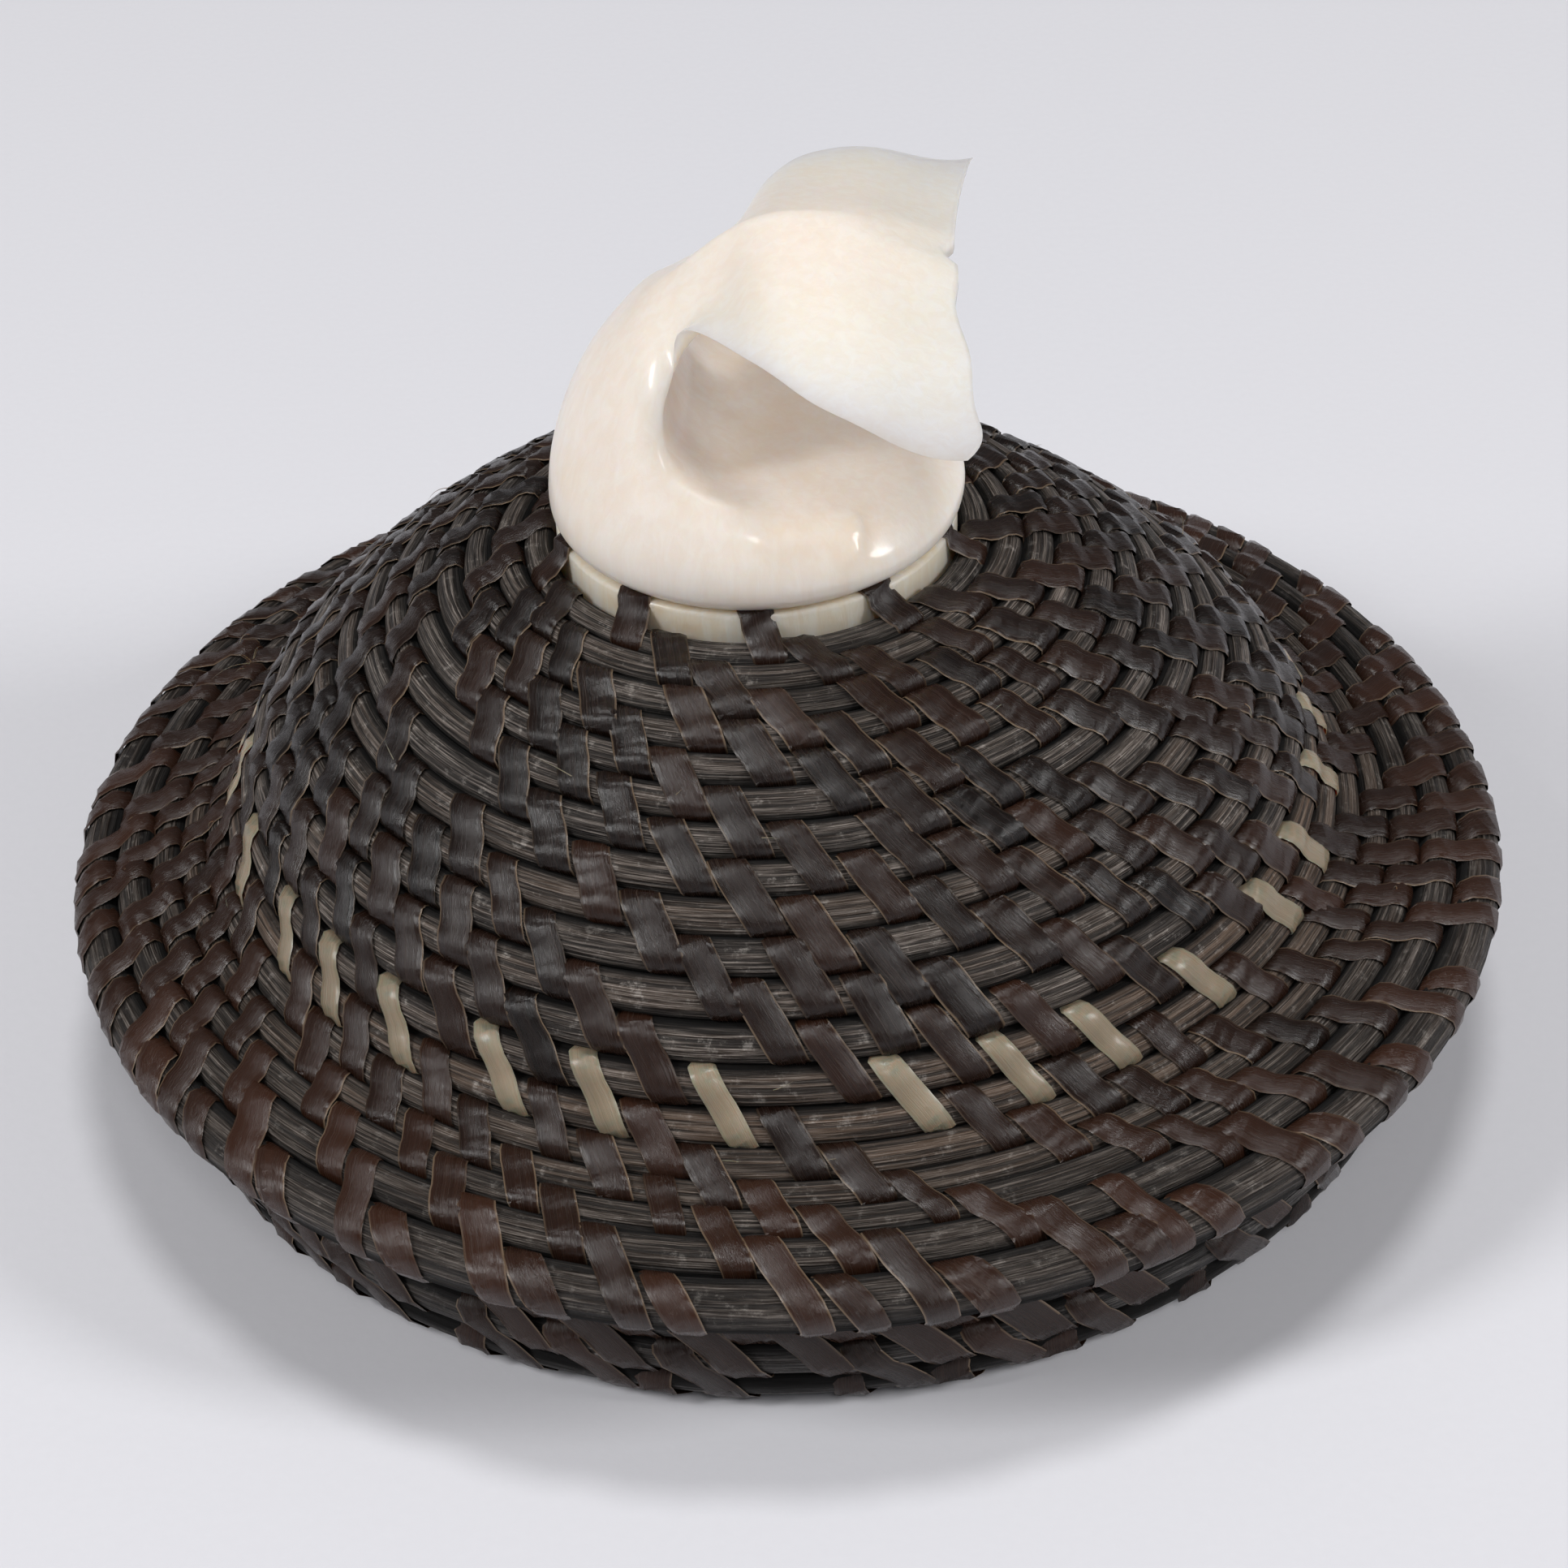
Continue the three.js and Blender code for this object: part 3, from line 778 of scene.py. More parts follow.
@dataclass(frozen=True)
class SplintFinish:
    """Glossy baleen splint: black to warm brown by stitch, with fine grain and lighter cut edges."""

    name: str = "baleen splint"
    dark: Colour = (0.0036, 0.0022, 0.0017, 1.0)
    brown: Colour = (0.036, 0.0140, 0.0076, 1.0)
    edge: Colour = (0.24, 0.170, 0.110, 1.0)
    streak: Colour = (0.075, 0.053, 0.041, 1.0)
    grain_along: float = 90.0
    grain_across: float = 30.0
    seed_spread: float = 37.0
    rim_width: float = 0.035
    tone_share: float = 0.95
    broad_share: float = 0.16
    streak_span: Span = (0.52, 0.74)
    streak_strength: float = 0.55
    edge_span: Span = (0.43, 0.62)
    edge_least: float = 0.08
    edge_strength: float = 0.60
    roughness: float = 0.17
    rough_spread: float = 0.13
    specular: float = 0.40
    coat: float = 0.0
    coat_roughness: float = 0.22
    subsurface: float = 0.0
    subsurface_scale: float = 0.001
    dome_depth: float = 2.6
    depth: float = 0.00005

    def build(self, fibres: bpy.types.NodeTree, edges: bpy.types.NodeTree) -> bpy.types.Material:
        """Tone of each stitch, grain along it, worn light rims and a domed bump.

        Args:
            fibres: The group of lengthwise fibres.
            edges: The group of cut edges.

        Returns:
            The material.
        """
        shade = Shading(self.name)
        run = shade.run_uv()
        shift = shade.times(shade.tone("seed"), self.seed_spread)
        grain = shade.place(fibres, Map=run, Along=self.grain_along, Across=self.grain_across, Shift=shift)
        rims = shade.place(edges, Map=run, Width=self.rim_width, Shift=shift)
        broad = shade.times(shade.between(grain["Coarse"], (0.30, 0.72)), self.broad_share)
        warmed = shade.plus(shade.times(shade.tone("tone"), self.tone_share), broad)
        base = shade.blend(warmed, self.dark, self.brown)
        streak = shade.between(grain["Fibre"], self.streak_span, (0.0, self.streak_strength))
        lined = shade.blend(streak, base, self.streak)
        worn = shade.between(grain["Coarse"], self.edge_span, (self.edge_least, self.edge_strength))
        colour = shade.blend(shade.times(rims["Edge"], worn), lined, self.edge)
        dullest = self.roughness + self.rough_spread
        rough = shade.between(grain["Fibre"], (0.40, 0.62), (self.roughness, dullest))
        height = shade.plus(shade.times(rims["Dome"], self.dome_depth), grain["Fibre"])
        shade.value("Coat Weight", self.coat)
        shade.value("Coat Roughness", self.coat_roughness)
        shade.value("Specular IOR Level", self.specular)
        if self.subsurface > 0:
            shade.value("Subsurface Weight", self.subsurface)
            shade.value("Subsurface Scale", self.subsurface_scale)
        return shade.finish(colour, rough, height, self.depth)


@dataclass(frozen=True)
class IvoryFinish:
    """Polished ivory: creamy, faintly lined, yellower in patches and round its pores."""

    name: str = "ivory"
    cream: Colour = (0.850, 0.755, 0.665, 1.0)
    yellow: Colour = (0.79, 0.62, 0.43, 1.0)
    pale: Colour = (0.870, 0.800, 0.730, 1.0)
    lines: float = 900.0
    line_span: Span = (0.35, 0.68)
    patches: float = 60.0
    patch_span: Span = (0.50, 0.78)
    yellowing: float = 0.55
    roughness: float = 0.36
    rough_spread: float = 0.14
    subsurface: float = 0.60
    subsurface_scale: float = 0.0050
    subsurface_radius: tuple[float, float, float] = (1.0, 0.72, 0.45)
    coat: float = 0.42
    coat_roughness: float = 0.14
    pore_depth: float = 0.5
    depth: float = 0.00003

    def build(self, mottle: bpy.types.NodeTree) -> bpy.types.Material:
        """Pale and cream lines under soft yellow patches, a clear polish and light under the surface.

        Args:
            mottle: The group of ivory's mottle.

        Returns:
            The material.
        """
        shade = Shading(self.name)
        marks = shade.place(mottle, Point=shade.object_point(), Lines=self.lines, Patches=self.patches)
        lined = shade.blend(shade.between(marks["Line"], self.line_span), self.cream, self.pale)
        patch = shade.between(marks["Patch"], self.patch_span, (0.0, self.yellowing))
        colour = shade.blend(patch, lined, self.yellow)
        dullest = self.roughness + self.rough_spread
        rough = shade.between(marks["Patch"], (0.3, 0.7), (self.roughness, dullest))
        height = shade.plus(marks["Line"], shade.times(marks["Pore"], self.pore_depth))
        shade.value("Subsurface Weight", self.subsurface)
        shade.value("Subsurface Scale", self.subsurface_scale)
        shade.value("Subsurface Radius", self.subsurface_radius)
        shade.value("Coat Weight", self.coat)
        shade.value("Coat Roughness", self.coat_roughness)
        return shade.finish(colour, rough, height, self.depth)


@dataclass
class Finishes:
    """All materials, each built once from the shared groups."""

    rod: bpy.types.Material = field(init=False)
    shaded_dark_rod: bpy.types.Material = field(init=False)
    splint: bpy.types.Material = field(init=False)
    dull_splint: bpy.types.Material = field(init=False)
    pale_splint: bpy.types.Material = field(init=False)
    ivory: bpy.types.Material = field(init=False)
    worn_ivory: bpy.types.Material = field(init=False)

    def __post_init__(self) -> None:
        """Builds the groups and the materials."""
        fibres, edges, mottle = fibre_group(), edge_group(), mottle_group()
        self.rod = RodFinish().build(fibres)
        # Painted shade: a darker copy of the rod finish for the body's rods, which lie under the lid's brim,
        # laid over the baleen's own dark colour.
        self.shaded_dark_rod = RodFinish(
            name="dark baleen rod", dark=(0.0045, 0.0040, 0.0038, 1.0), grey=(0.26, 0.245, 0.235, 1.0),
            brown=(0.05, 0.036, 0.028, 1.0), dust=(0.36, 0.34, 0.32, 1.0), roughness=0.30,
        ).build(fibres)
        self.splint = SplintFinish().build(fibres, edges)
        self.dull_splint = SplintFinish(
            name="dull baleen splint", roughness=0.20, specular=0.28,
        ).build(fibres, edges)
        self.pale_splint = SplintFinish(
            name="pale splint", dark=(0.22, 0.168, 0.110, 1.0), brown=(0.37, 0.295, 0.205, 1.0),
            edge=(0.40, 0.32, 0.19, 1.0), streak=(0.42, 0.38, 0.27, 1.0),
            edge_strength=0.4, roughness=0.26, coat=0.3, subsurface=0.35,
        ).build(fibres, edges)
        self.ivory = IvoryFinish().build(mottle)
        self.worn_ivory = IvoryFinish(
            name="worn ivory", cream=(0.78, 0.655, 0.505, 1.0), yellow=(0.64, 0.42, 0.22, 1.0),
            pale=(0.82, 0.735, 0.620, 1.0), yellowing=0.6, roughness=0.34, patches=150.0, depth=0.00006,
        ).build(mottle)


# Rods and stitches

START_ANGLE = math.pi * 0.8
"""The first loop of every coil starts here, so that all steps up lie behind the object."""

ROD_BREADTH = 1.08
"""Breadth of a rod across the wall over its thickness, because its stitches press it flat."""

ROD_SQUARENESS = 2.35
"""Power in the rod's section: 2 gives a round rod, and more a squarer one."""

LAST_WRAP_MARGIN = 0.05
"""Turns left bare of stitches before the end of a coil."""


def oblong(around: np.ndarray, half: np.ndarray, lift: float = 0.0) -> tuple[np.ndarray, np.ndarray]:
    """A rod's rounded oblong section, or the line a little way off it.

    The reach is the half thickness over the sum of the cosine's and the sine's size, each to the
    power of the squareness, rooted; across the wall it is wider by the breadth.

    Args:
        around: Angles round the rod, 0 outward along the wall and a quarter turn above it.
        half: Half of the rod's thickness.
        lift: Distance off the rod's surface.

    Returns:
        Distance along the wall and distance above it, from the rod's middle.
    """
    cosine, sine = np.cos(around), np.sin(around)
    power = np.abs(cosine) ** ROD_SQUARENESS + np.abs(sine) ** ROD_SQUARENESS
    reach = half * power ** (-1.0 / ROD_SQUARENESS)
    return (ROD_BREADTH * reach + lift) * cosine, (reach + lift) * sine


@dataclass
class CoilRod:
    """The unbroken rod of one coil, a bundle of baleen strips with a few flats and ridges along it.

    The surface is a rounded oblong carried along the coil: the sum of the cosine and the sine of the
    angle round the rod, each to one power, sets its radius, with ridges that wander along the run.
    At its sides it is drawn out by the sixth power of the cosine, until it meets the next loop.
    """

    wall: Wall
    name: str
    seed: int
    steps_per_turn: int = 112
    sides: int = 16
    lead_turns: float = 0.3
    thinnest: float = 1.0
    ridging: float = 0.05
    rings_per_ridge: int = 34
    swelling: float = 0.02
    rings_per_swell: int = 20
    closing_rings: float = 3.0
    seam_share: float = 0.55
    warm_loop: float | None = None
    warm_loops_wide: float = 2.6
    pallor: Table = even(0.8)

    def build(self) -> bpy.types.Object:
        """Mesh of the rod, closed at both shaved ends, mapped along and round.

        Returns:
            The rod.
        """
        turns = np.arange(-self.lead_turns, self.wall.plan.loops + 1e-6, 1.0 / self.steps_per_turn)
        radius, height, slope, thick = self.wall.rod_on_turn(turns)
        kept = thick >= self.thinnest
        turns, radius, height, slope, thick = (part[kept] for part in (turns, radius, height, slope, thick))
        count = len(turns)
        across, above = self._sections(thick[:, None])
        outward, upward = np.cos(slope)[:, None], np.sin(slope)[:, None]
        spread = radius[:, None] + outward * across - upward * above
        level = height[:, None] + upward * across + outward * above
        angle = START_ANGLE + FULL_TURN * turns[:, None] + 0.0 * across
        points = self.wall.leaned(spread, level, angle)
        piece = mesh_object(self.name, points.reshape(-1, 3), grid_faces(count, self.sides, False, True))
        run = np.concatenate([[0.0], np.cumsum(radius[1:] * FULL_TURN * np.diff(turns))]) * MM
        set_uv(piece, grid_uv(run, np.linspace(0.0, 1.0, self.sides + 1)))
        set_tone(piece, "warmth", np.repeat(self._warmth(turns), self.sides))
        set_tone(piece, "pallor", np.repeat(read_table(self.pallor, turns), self.sides))
        return piece

    def _sections(self, thick: np.ndarray) -> tuple[np.ndarray, np.ndarray]:
        """Section of the rod at every ring, with its ridges, and closed towards both ends.

        Args:
            thick: Thickness at each ring, as a column.

        Returns:
            Distance along the wall and distance above it, ring by ring.
        """
        count = len(thick)
        around = -FULL_TURN * (np.arange(self.sides) + 0.5) / self.sides - math.pi / 2
        rng = np.random.default_rng(self.seed)
        cells = max(count // self.rings_per_ridge, 3)
        ridges = [smooth_noise(count, cells, int(rng.integers(1 << 30))) for _ in range(self.sides)]
        swell = smooth_noise(count, max(count // self.rings_per_swell, 3), self.seed + 5)[:, None]
        ends = np.minimum(np.arange(count), np.arange(count)[::-1]) / self.closing_rings
        closing = np.sqrt(1.0 - (1.0 - np.clip(ends, 0.0, 1.0)) ** 2)[:, None]
        ridged = 1.0 + self.ridging * np.stack(ridges, axis=1)
        across, above = oblong(around, thick / 2 * (1.0 + self.swelling * swell) * ridged * closing)
        seam = self.seam_share * self.wall.plan.gap - (ROD_BREADTH - 1.0) / 2 * thick
        return across + seam * closing * np.sign(across) * np.abs(np.cos(around)) ** 6, above

    def _warmth(self, turns: np.ndarray) -> np.ndarray:
        """How brown the rod is: it wanders, and more so beside the warm loop, by a bell curve.

        Args:
            turns: Place of each ring.

        Returns:
            A share for each ring.
        """
        wander = 0.5 + 0.5 * smooth_noise(len(turns), 60, self.seed + 9)
        near = 0.3
        if self.warm_loop is not None:
            near = np.exp(-((turns - self.warm_loop) / self.warm_loops_wide) ** 2)
        return np.clip(0.04 + 0.75 * near * wander + 0.16 * wander, 0.0, 1.0)


def row_of_stitches(turns: np.ndarray, wall: Wall, shift: float, spacing: float,
                    rng: np.random.Generator) -> np.ndarray:
    """Stitches of the next loop: one beside each of this loop, and a new one where they spread too far.

    Args:
        turns: Places of this loop's stitches, in turns, in order.
        wall: The wall they are on.
        shift: Distance along the coil from a stitch to the one that follows on it, in millimetres.
        spacing: Distance between stitches that the maker kept to, in millimetres.
        rng: Source of the small irregularities.

    Returns:
        Places of the next loop's stitches, in turns, in order.
    """
    wandering, too_far = 0.35, 1.36
    around = FULL_TURN * wall.rod_on_turn(turns + 1.0)[0]
    following = turns + 1.0 + (shift + rng.normal(0.0, wandering, len(turns))) / around
    gaps = np.diff(np.append(following, following[0] + 1.0))
    wide = gaps * around > too_far * spacing
    share = rng.uniform(0.44, 0.56, len(turns))
    return np.sort(np.concatenate([following, (following + share * gaps)[wide]]))


def all_stitches(first: np.ndarray, wall: Wall, shift: float, spacing: float, seed: int) -> np.ndarray:
    """Stitches of a whole coil, loop after loop, each row worked out from the row before.

    Args:
        first: Places of the disc's stitches, in turns.
        wall: The wall they are on.
        shift: Distance along the coil from a stitch to the one that follows on it, in millimetres.
        spacing: Distance between stitches that the maker kept to, in millimetres.
        seed: Seed of the small irregularities.

    Returns:
        Places of the stitches round two loops each, by the turn of the inner loop.
    """
    rows, row, rng = [], first, np.random.default_rng(seed)
    for _ in range(wall.plan.loops - 1):
        row = row_of_stitches(row, wall, shift, spacing, rng)
        rows.append(row)
    turns = np.concatenate(rows)
    return turns[turns < wall.plan.loops - 1.0 - LAST_WRAP_MARGIN]


def edge_wraps(turns: np.ndarray, wall: Wall, shift: float) -> np.ndarray:
    """Wraps round the last loop alone, one beside each stitch that reaches it.

    Args:
        turns: Places of all stitches, in turns.
        wall: The wall they are on.
        shift: Distance along the coil from a stitch to its wrap, in millimetres.

    Returns:
        Places of the wraps, in turns.
    """
    end = wall.plan.loops - LAST_WRAP_MARGIN
    wraps = turns[turns > end - 2.0] + 1.0 + shift / (FULL_TURN * wall.radius[-1])
    return wraps[wraps < end]


@dataclass
class Stitches:
    """Closed bands of splint, each drawn round two neighbouring rods or round one.

    In the plane of the section a band follows both rods' outlines and the tangents between them,
    sinking a little where it bridges them. Along the coil it slants by a fixed share of the way
    outward. Its own section is a flat strip with thinned edges.
    """

    name: str
    wall: Wall
    turns: np.ndarray
    seed: int
    around_both: bool = True
    slant: float = 0.55
    slant_spread: float = 0.10
    widths: Table = even(2.9)
    width_spread: float = 0.07
    width_jitter: float = 0.005
    thickness: float = 0.26
    lift: float = 0.06
    sink: float = 0.16
    brownness: Table = even(0.4)
    tone_spread: float = 0.16
    crease_degrees: float = 62.0
    arc: tuple[float, ...] = (-80.0, -118.0, -150.0, -180.0, -214.0, -240.0, -270.0, -298.0)
    strip_sideways: tuple[float, ...] = (1.0, 0.66, -0.66, -1.0)
    strip_raised: tuple[float, ...] = (0.30, 1.0, 1.0, 0.30)
    strip_map: tuple[float, ...] = (1.0, 0.90, 0.10, 0.0, 1.0)

    def build(self) -> bpy.types.Object:
        """Mesh of all bands, mapped along and across, with a tone for each.

        Returns:
            The stitches as one piece.
        """
        radius, height, out = self._section_paths() if self.around_both else self._single_paths()
        return self._bands(radius, height, out)

    def _single_paths(self) -> tuple[np.ndarray, np.ndarray, np.ndarray]:
        """Closed paths round one rod each.

        Returns:
            Radius, height and distance out along the wall at each sample of each band.
        """
        radius, height, slope, thick = (part[:, None] for part in self.wall.rod_on_turn(self.turns))
        around = np.radians(-75.0 - 30.0 * np.arange(12))[None, :]
        out, up = oblong(around, thick / 2, self.lift)
        return (radius + out * np.cos(slope) - up * np.sin(slope),
                height + out * np.sin(slope) + up * np.cos(slope), out)

    def _section_paths(self) -> tuple[np.ndarray, np.ndarray, np.ndarray]:
        """Closed paths round two rods each.

        The path follows the inner rod round its inside and over its crest, dips between the two
        rods, and follows the outer rod round its outside and back underneath.

        Returns:
            Radius, height and distance out along the wall from the middle, as for one rod.
        """
        radius, height, _, inner_thick = (part[:, None] for part in self.wall.rod_on_turn(self.turns))
        outer_radius, outer_height, _, outer_thick = (
            part[:, None] for part in self.wall.rod_on_turn(self.turns + 1.0)
        )
        span = np.hypot(outer_radius - radius, outer_height - height)
        cosine, sine = (outer_radius - radius) / span, (outer_height - height) / span
        around = np.radians(np.array(self.arc))[None, :]
        inner_out, inner_up = oblong(around, inner_thick / 2, self.lift)
        outer_out, outer_up = oblong(math.pi - around[:, ::-1], outer_thick / 2, self.lift)
        outer_out = span + outer_out
        top_out = (inner_out[:, -1:] + outer_out[:, :1]) / 2
        low_out = (outer_out[:, -1:] + inner_out[:, :1]) / 2
        top_up = (inner_up[:, -1:] + outer_up[:, :1]) / 2 - self.sink
        low_up = (outer_up[:, -1:] + inner_up[:, :1]) / 2 + self.sink
        out = np.concatenate([inner_out, top_out, outer_out, low_out], axis=1)
        up = np.concatenate([inner_up, top_up, outer_up, low_up], axis=1)
        return radius + out * cosine - up * sine, height + out * sine + up * cosine, out - span / 2

    def _bands(self, radius: np.ndarray, height: np.ndarray, out: np.ndarray,
               narrowing: np.ndarray | None = None) -> bpy.types.Object:
        """Strips along closed paths.

        Args:
            radius: Radius at each sample of each band.
            height: Height there.
            out: Distance outward there, which the slant goes by.
            narrowing: Shares of the width at the samples, where it isn't the same all along.

        Returns:
            The strips as one piece.
        """
        bands, samples = radius.shape
        rng = np.random.default_rng(self.seed)
        slant = self.slant * (1.0 + rng.normal(0.0, self.slant_spread, bands))[:, None]
        angle = START_ANGLE + FULL_TURN * self.turns[:, None] + slant * out / radius
        path = self.wall.leaned(radius, height, angle)
        tangent = np.roll(path, -1, axis=1) - np.roll(path, 1, axis=1)
        tangent /= np.linalg.norm(tangent, axis=-1, keepdims=True)
        forward = np.stack([-np.sin(angle), np.cos(angle), np.zeros_like(angle)], axis=-1)
        wide = forward - (forward * tangent).sum(-1, keepdims=True) * tangent
        wide /= np.linalg.norm(wide, axis=-1, keepdims=True)
        outward = np.cross(tangent, wide)
        half = read_table(self.widths, self.turns) / 2 * (1.0 + rng.normal(0.0, self.width_spread, bands))
        half = half[:, None] * (1.0 + self.width_jitter * rng.normal(0.0, 1.0, (bands, samples)))
        if narrowing is not None:
            half = half * narrowing
        sideways = np.array(self.strip_sideways)
        raised = np.array(self.strip_raised) * self.thickness
        points = (path[:, :, None, :]
                  + wide[:, :, None, :] * (half[:, :, None, None] * sideways[None, None, :, None]) * MM
                  + outward[:, :, None, :] * raised[None, None, :, None] * MM)
        points[..., 2] = np.maximum(points[..., 2], 0.0)
        lines = len(sideways)
        faces = copied_faces(grid_faces(samples, lines, True, True), samples * lines, bands)
        piece = mesh_object(self.name, points.reshape(-1, 3), faces)
        piece.data.set_sharp_from_angle(angle=math.radians(self.crease_degrees))
        steps = np.linalg.norm(np.roll(path, -1, axis=1) - path, axis=-1).mean(axis=0)
        uv = grid_uv(np.concatenate([[0.0], np.cumsum(steps)]), np.array(self.strip_map))
        start = np.repeat(rng.uniform(0.0, 1.0, bands), len(uv))[:, None] * np.array([[0.5, 0.0]])
        set_uv(piece, np.tile(uv, (bands, 1)) + start)
        tone = read_table(self.brownness, self.turns) + rng.normal(0.0, self.tone_spread, bands)
        set_tone(piece, "tone", np.repeat(np.clip(tone, 0.0, 1.0), samples * lines))
        set_tone(piece, "seed", np.repeat(rng.uniform(0.0, 1.0, bands), samples * lines))
        return piece


@dataclass
class DiscStitches(Stitches):
    """The first stitches of a coil, from the holes of its disc over the disc's edge round the first loop."""

    hole_radius: float = 14.1
    disc_radius: float = 17.1
    disc_bottom: float = 0.0
    disc_top: float = 0.0
    hole_narrowing: tuple[float, ...] = (1.0, 0.6, 0.4, 0.4, 0.6)

    def _section_paths(self) -> tuple[np.ndarray, np.ndarray, np.ndarray]:
        """Path through the hole, over the disc's top and edge, round the rod and back under the disc.

        Returns:
            Radius, height and distance outward at each sample of each band.
        """
        rod = self.wall.rod_on_turn(self.turns + 1.0)
        size = rod[3] / 2 + self.lift
        over = np.radians(np.array([92.0, 60.0, 25.0, -10.0, -45.0, -80.0]))[None, :]
        round_out = rod[0][:, None] + size[:, None] * np.cos(over)
        round_up = rod[1][:, None] + size[:, None] * np.sin(over)
        hole, edge = self.hole_radius, self.disc_radius
        above = self.disc_top + self.lift
        below = self.disc_bottom - self.lift - self.thickness
        before = np.array([
            [edge - 1.0, below], [hole + 0.9, below], [hole, below + 0.6],
            [hole, above - 0.7], [hole + 0.6, above],
            [edge - 1.0, above + 0.04], [edge - 0.06, above - 0.04], [edge + 0.14, above - 1.0],
        ])
        ones = np.ones((len(self.turns), 1))
        radius = np.concatenate([ones * before[:, 0], round_out], axis=1)
        height = np.concatenate([ones * before[:, 1], np.maximum(round_up, below)], axis=1)
        return radius, height, radius - rod[0][:, None] + 1.5

    def build(self) -> bpy.types.Object:
        """Mesh of the first stitches, narrow inside the holes.

        Returns:
            The stitches as one piece.
        """
        radius, height, out = self._section_paths()
        narrowing = np.ones((1, radius.shape[1]))
        narrowing[0, : len(self.hole_narrowing)] = self.hole_narrowing
        return self._bands(radius, height, out, narrowing)


def hole_turns(holes: int) -> np.ndarray:
    """Places of a disc's holes in turns before the first loop, in order."""
    angles = FULL_TURN * (np.arange(holes) + 0.5) / holes
    return np.sort(np.mod((angles - START_ANGLE) / FULL_TURN, 1.0)) - 1.0


@dataclass
class Fibres:
    """Loose hairs of baleen: thin tapering tubes, each bent along a parabola between its ends."""

    name: str
    starts: np.ndarray
    ends: np.ndarray
    bulge: np.ndarray
    radius: float = 0.05
    samples: int = 7
    sides: int = 3

    def build(self) -> bpy.types.Object:
        """Mesh of all hairs, three-sided and thinned towards their tips.

        Returns:
            The hairs as one piece.
        """
        share = np.linspace(0.0, 1.0, self.samples)[None, :, None]
        start, end, bulge = (part[:, None, :] for part in (self.starts, self.ends, self.bulge))
        path = start * (1 - share) + end * share + bulge * 4.0 * share * (1 - share)
        tangent = np.gradient(path, axis=1)
        tangent /= np.linalg.norm(tangent, axis=-1, keepdims=True)
        side = np.cross(tangent, np.array([0.31, 0.22, 0.93]))
        side /= np.linalg.norm(side, axis=-1, keepdims=True)
        other = np.cross(tangent, side)
        angle = FULL_TURN * np.arange(self.sides) / self.sides
        size = self.radius * np.clip(1.15 - share, 0.12, 1.0)
        ring = side[:, :, None, :] * np.cos(angle)[None, None, :, None]
        ring = ring + other[:, :, None, :] * np.sin(angle)[None, None, :, None]
        points = (path[:, :, None, :] + ring * size[:, :, None, :]) * MM
        count, each = len(self.starts), self.samples * self.sides
        faces = copied_faces(grid_faces(self.samples, self.sides, False, True), each, count)
        piece = mesh_object(self.name, points.reshape(-1, 3), faces)
        uv = grid_uv(np.linspace(0.0, 0.004, self.samples), np.array([0.2, 0.4, 0.6, 0.8]))
        set_uv(piece, np.tile(uv, (count, 1)))
        set_tone(piece, "tone", np.repeat(np.linspace(0.5, 1.0, count), each))
        set_tone(piece, "seed", np.repeat(np.linspace(0.0, 1.0, count), each))
        return piece


# Basket, finial and lid


@dataclass
class Basket:
    """The body: a flat coiled floor round its disc, turned up into a low wall."""

    walls: Walls
    finishes: Finishes
    holes: int = 12
    spacing: float = 11.0
    shift: float = 1.2
    wrap_shift: float = 2.7
    slant: float = -0.75
    brownness: Table = ((0.0, 0.2), (12.0, 0.45))
    disc_bottom: float = 0.57

    def build(self) -> None:
        """Builds and dresses the rod, the first stitches, the rest of them and the wraps of the mouth."""
        size, wall = self.walls.sizes, self.walls.body
        rod = CoilRod(wall, "body_rods", seed=11).build()
        # The body's rods take the darker copy of the rod finish: painted shade under the lid's brim.
        dress(rod, self.finishes.shaded_dark_rod, Slot.BALEEN, Body.BASKET, "body_coil")
        holes = hole_turns(self.holes)
        first = DiscStitches(
            "base_disc_stitches", wall, holes, seed=12, slant=0.1, widths=even(2.6), lift=0.01,
            hole_radius=size.base_disc_radius - size.stitch_hole_inset, disc_radius=size.base_disc_radius,
            disc_bottom=self.disc_bottom, disc_top=size.base_disc_thickness,
        ).build()
        dress(first, self.finishes.splint, Slot.DARK_SPLINT, Body.BASKET)
        turns = all_stitches(holes, wall, self.shift, self.spacing, seed=13)
        bound = Stitches(
            "body_stitches", wall, turns, seed=14, slant=self.slant, widths=even(3.0),
            lift=0.01, brownness=self.brownness,
        ).build()
        dress(bound, self.finishes.dull_splint, Slot.DARK_SPLINT, Body.BASKET, "body_coil")
        mouth = Stitches(
            "mouth_wraps", wall, edge_wraps(turns, wall, self.wrap_shift), seed=15, around_both=False,
            slant=self.slant, widths=even(2.8), brownness=even(0.5),
        ).build()
        dress(mouth, self.finishes.dull_splint, Slot.DARK_SPLINT, Body.BASKET)


@dataclass(frozen=True)
class Touches:
    """Sizes in millimetres of the carver's touches on the tail."""

    sweep: float = 2.3
    notch: float = 1.1
    wave: float = 0.30
    near_rounding: float = 1.9
    far_bulge: float = 0.15
    far_hook: float = 0.9
    far_droop: float = 0.9
    crease: float = 0.95
    fold: float = 2.9
    fold_rise: float = 1.2


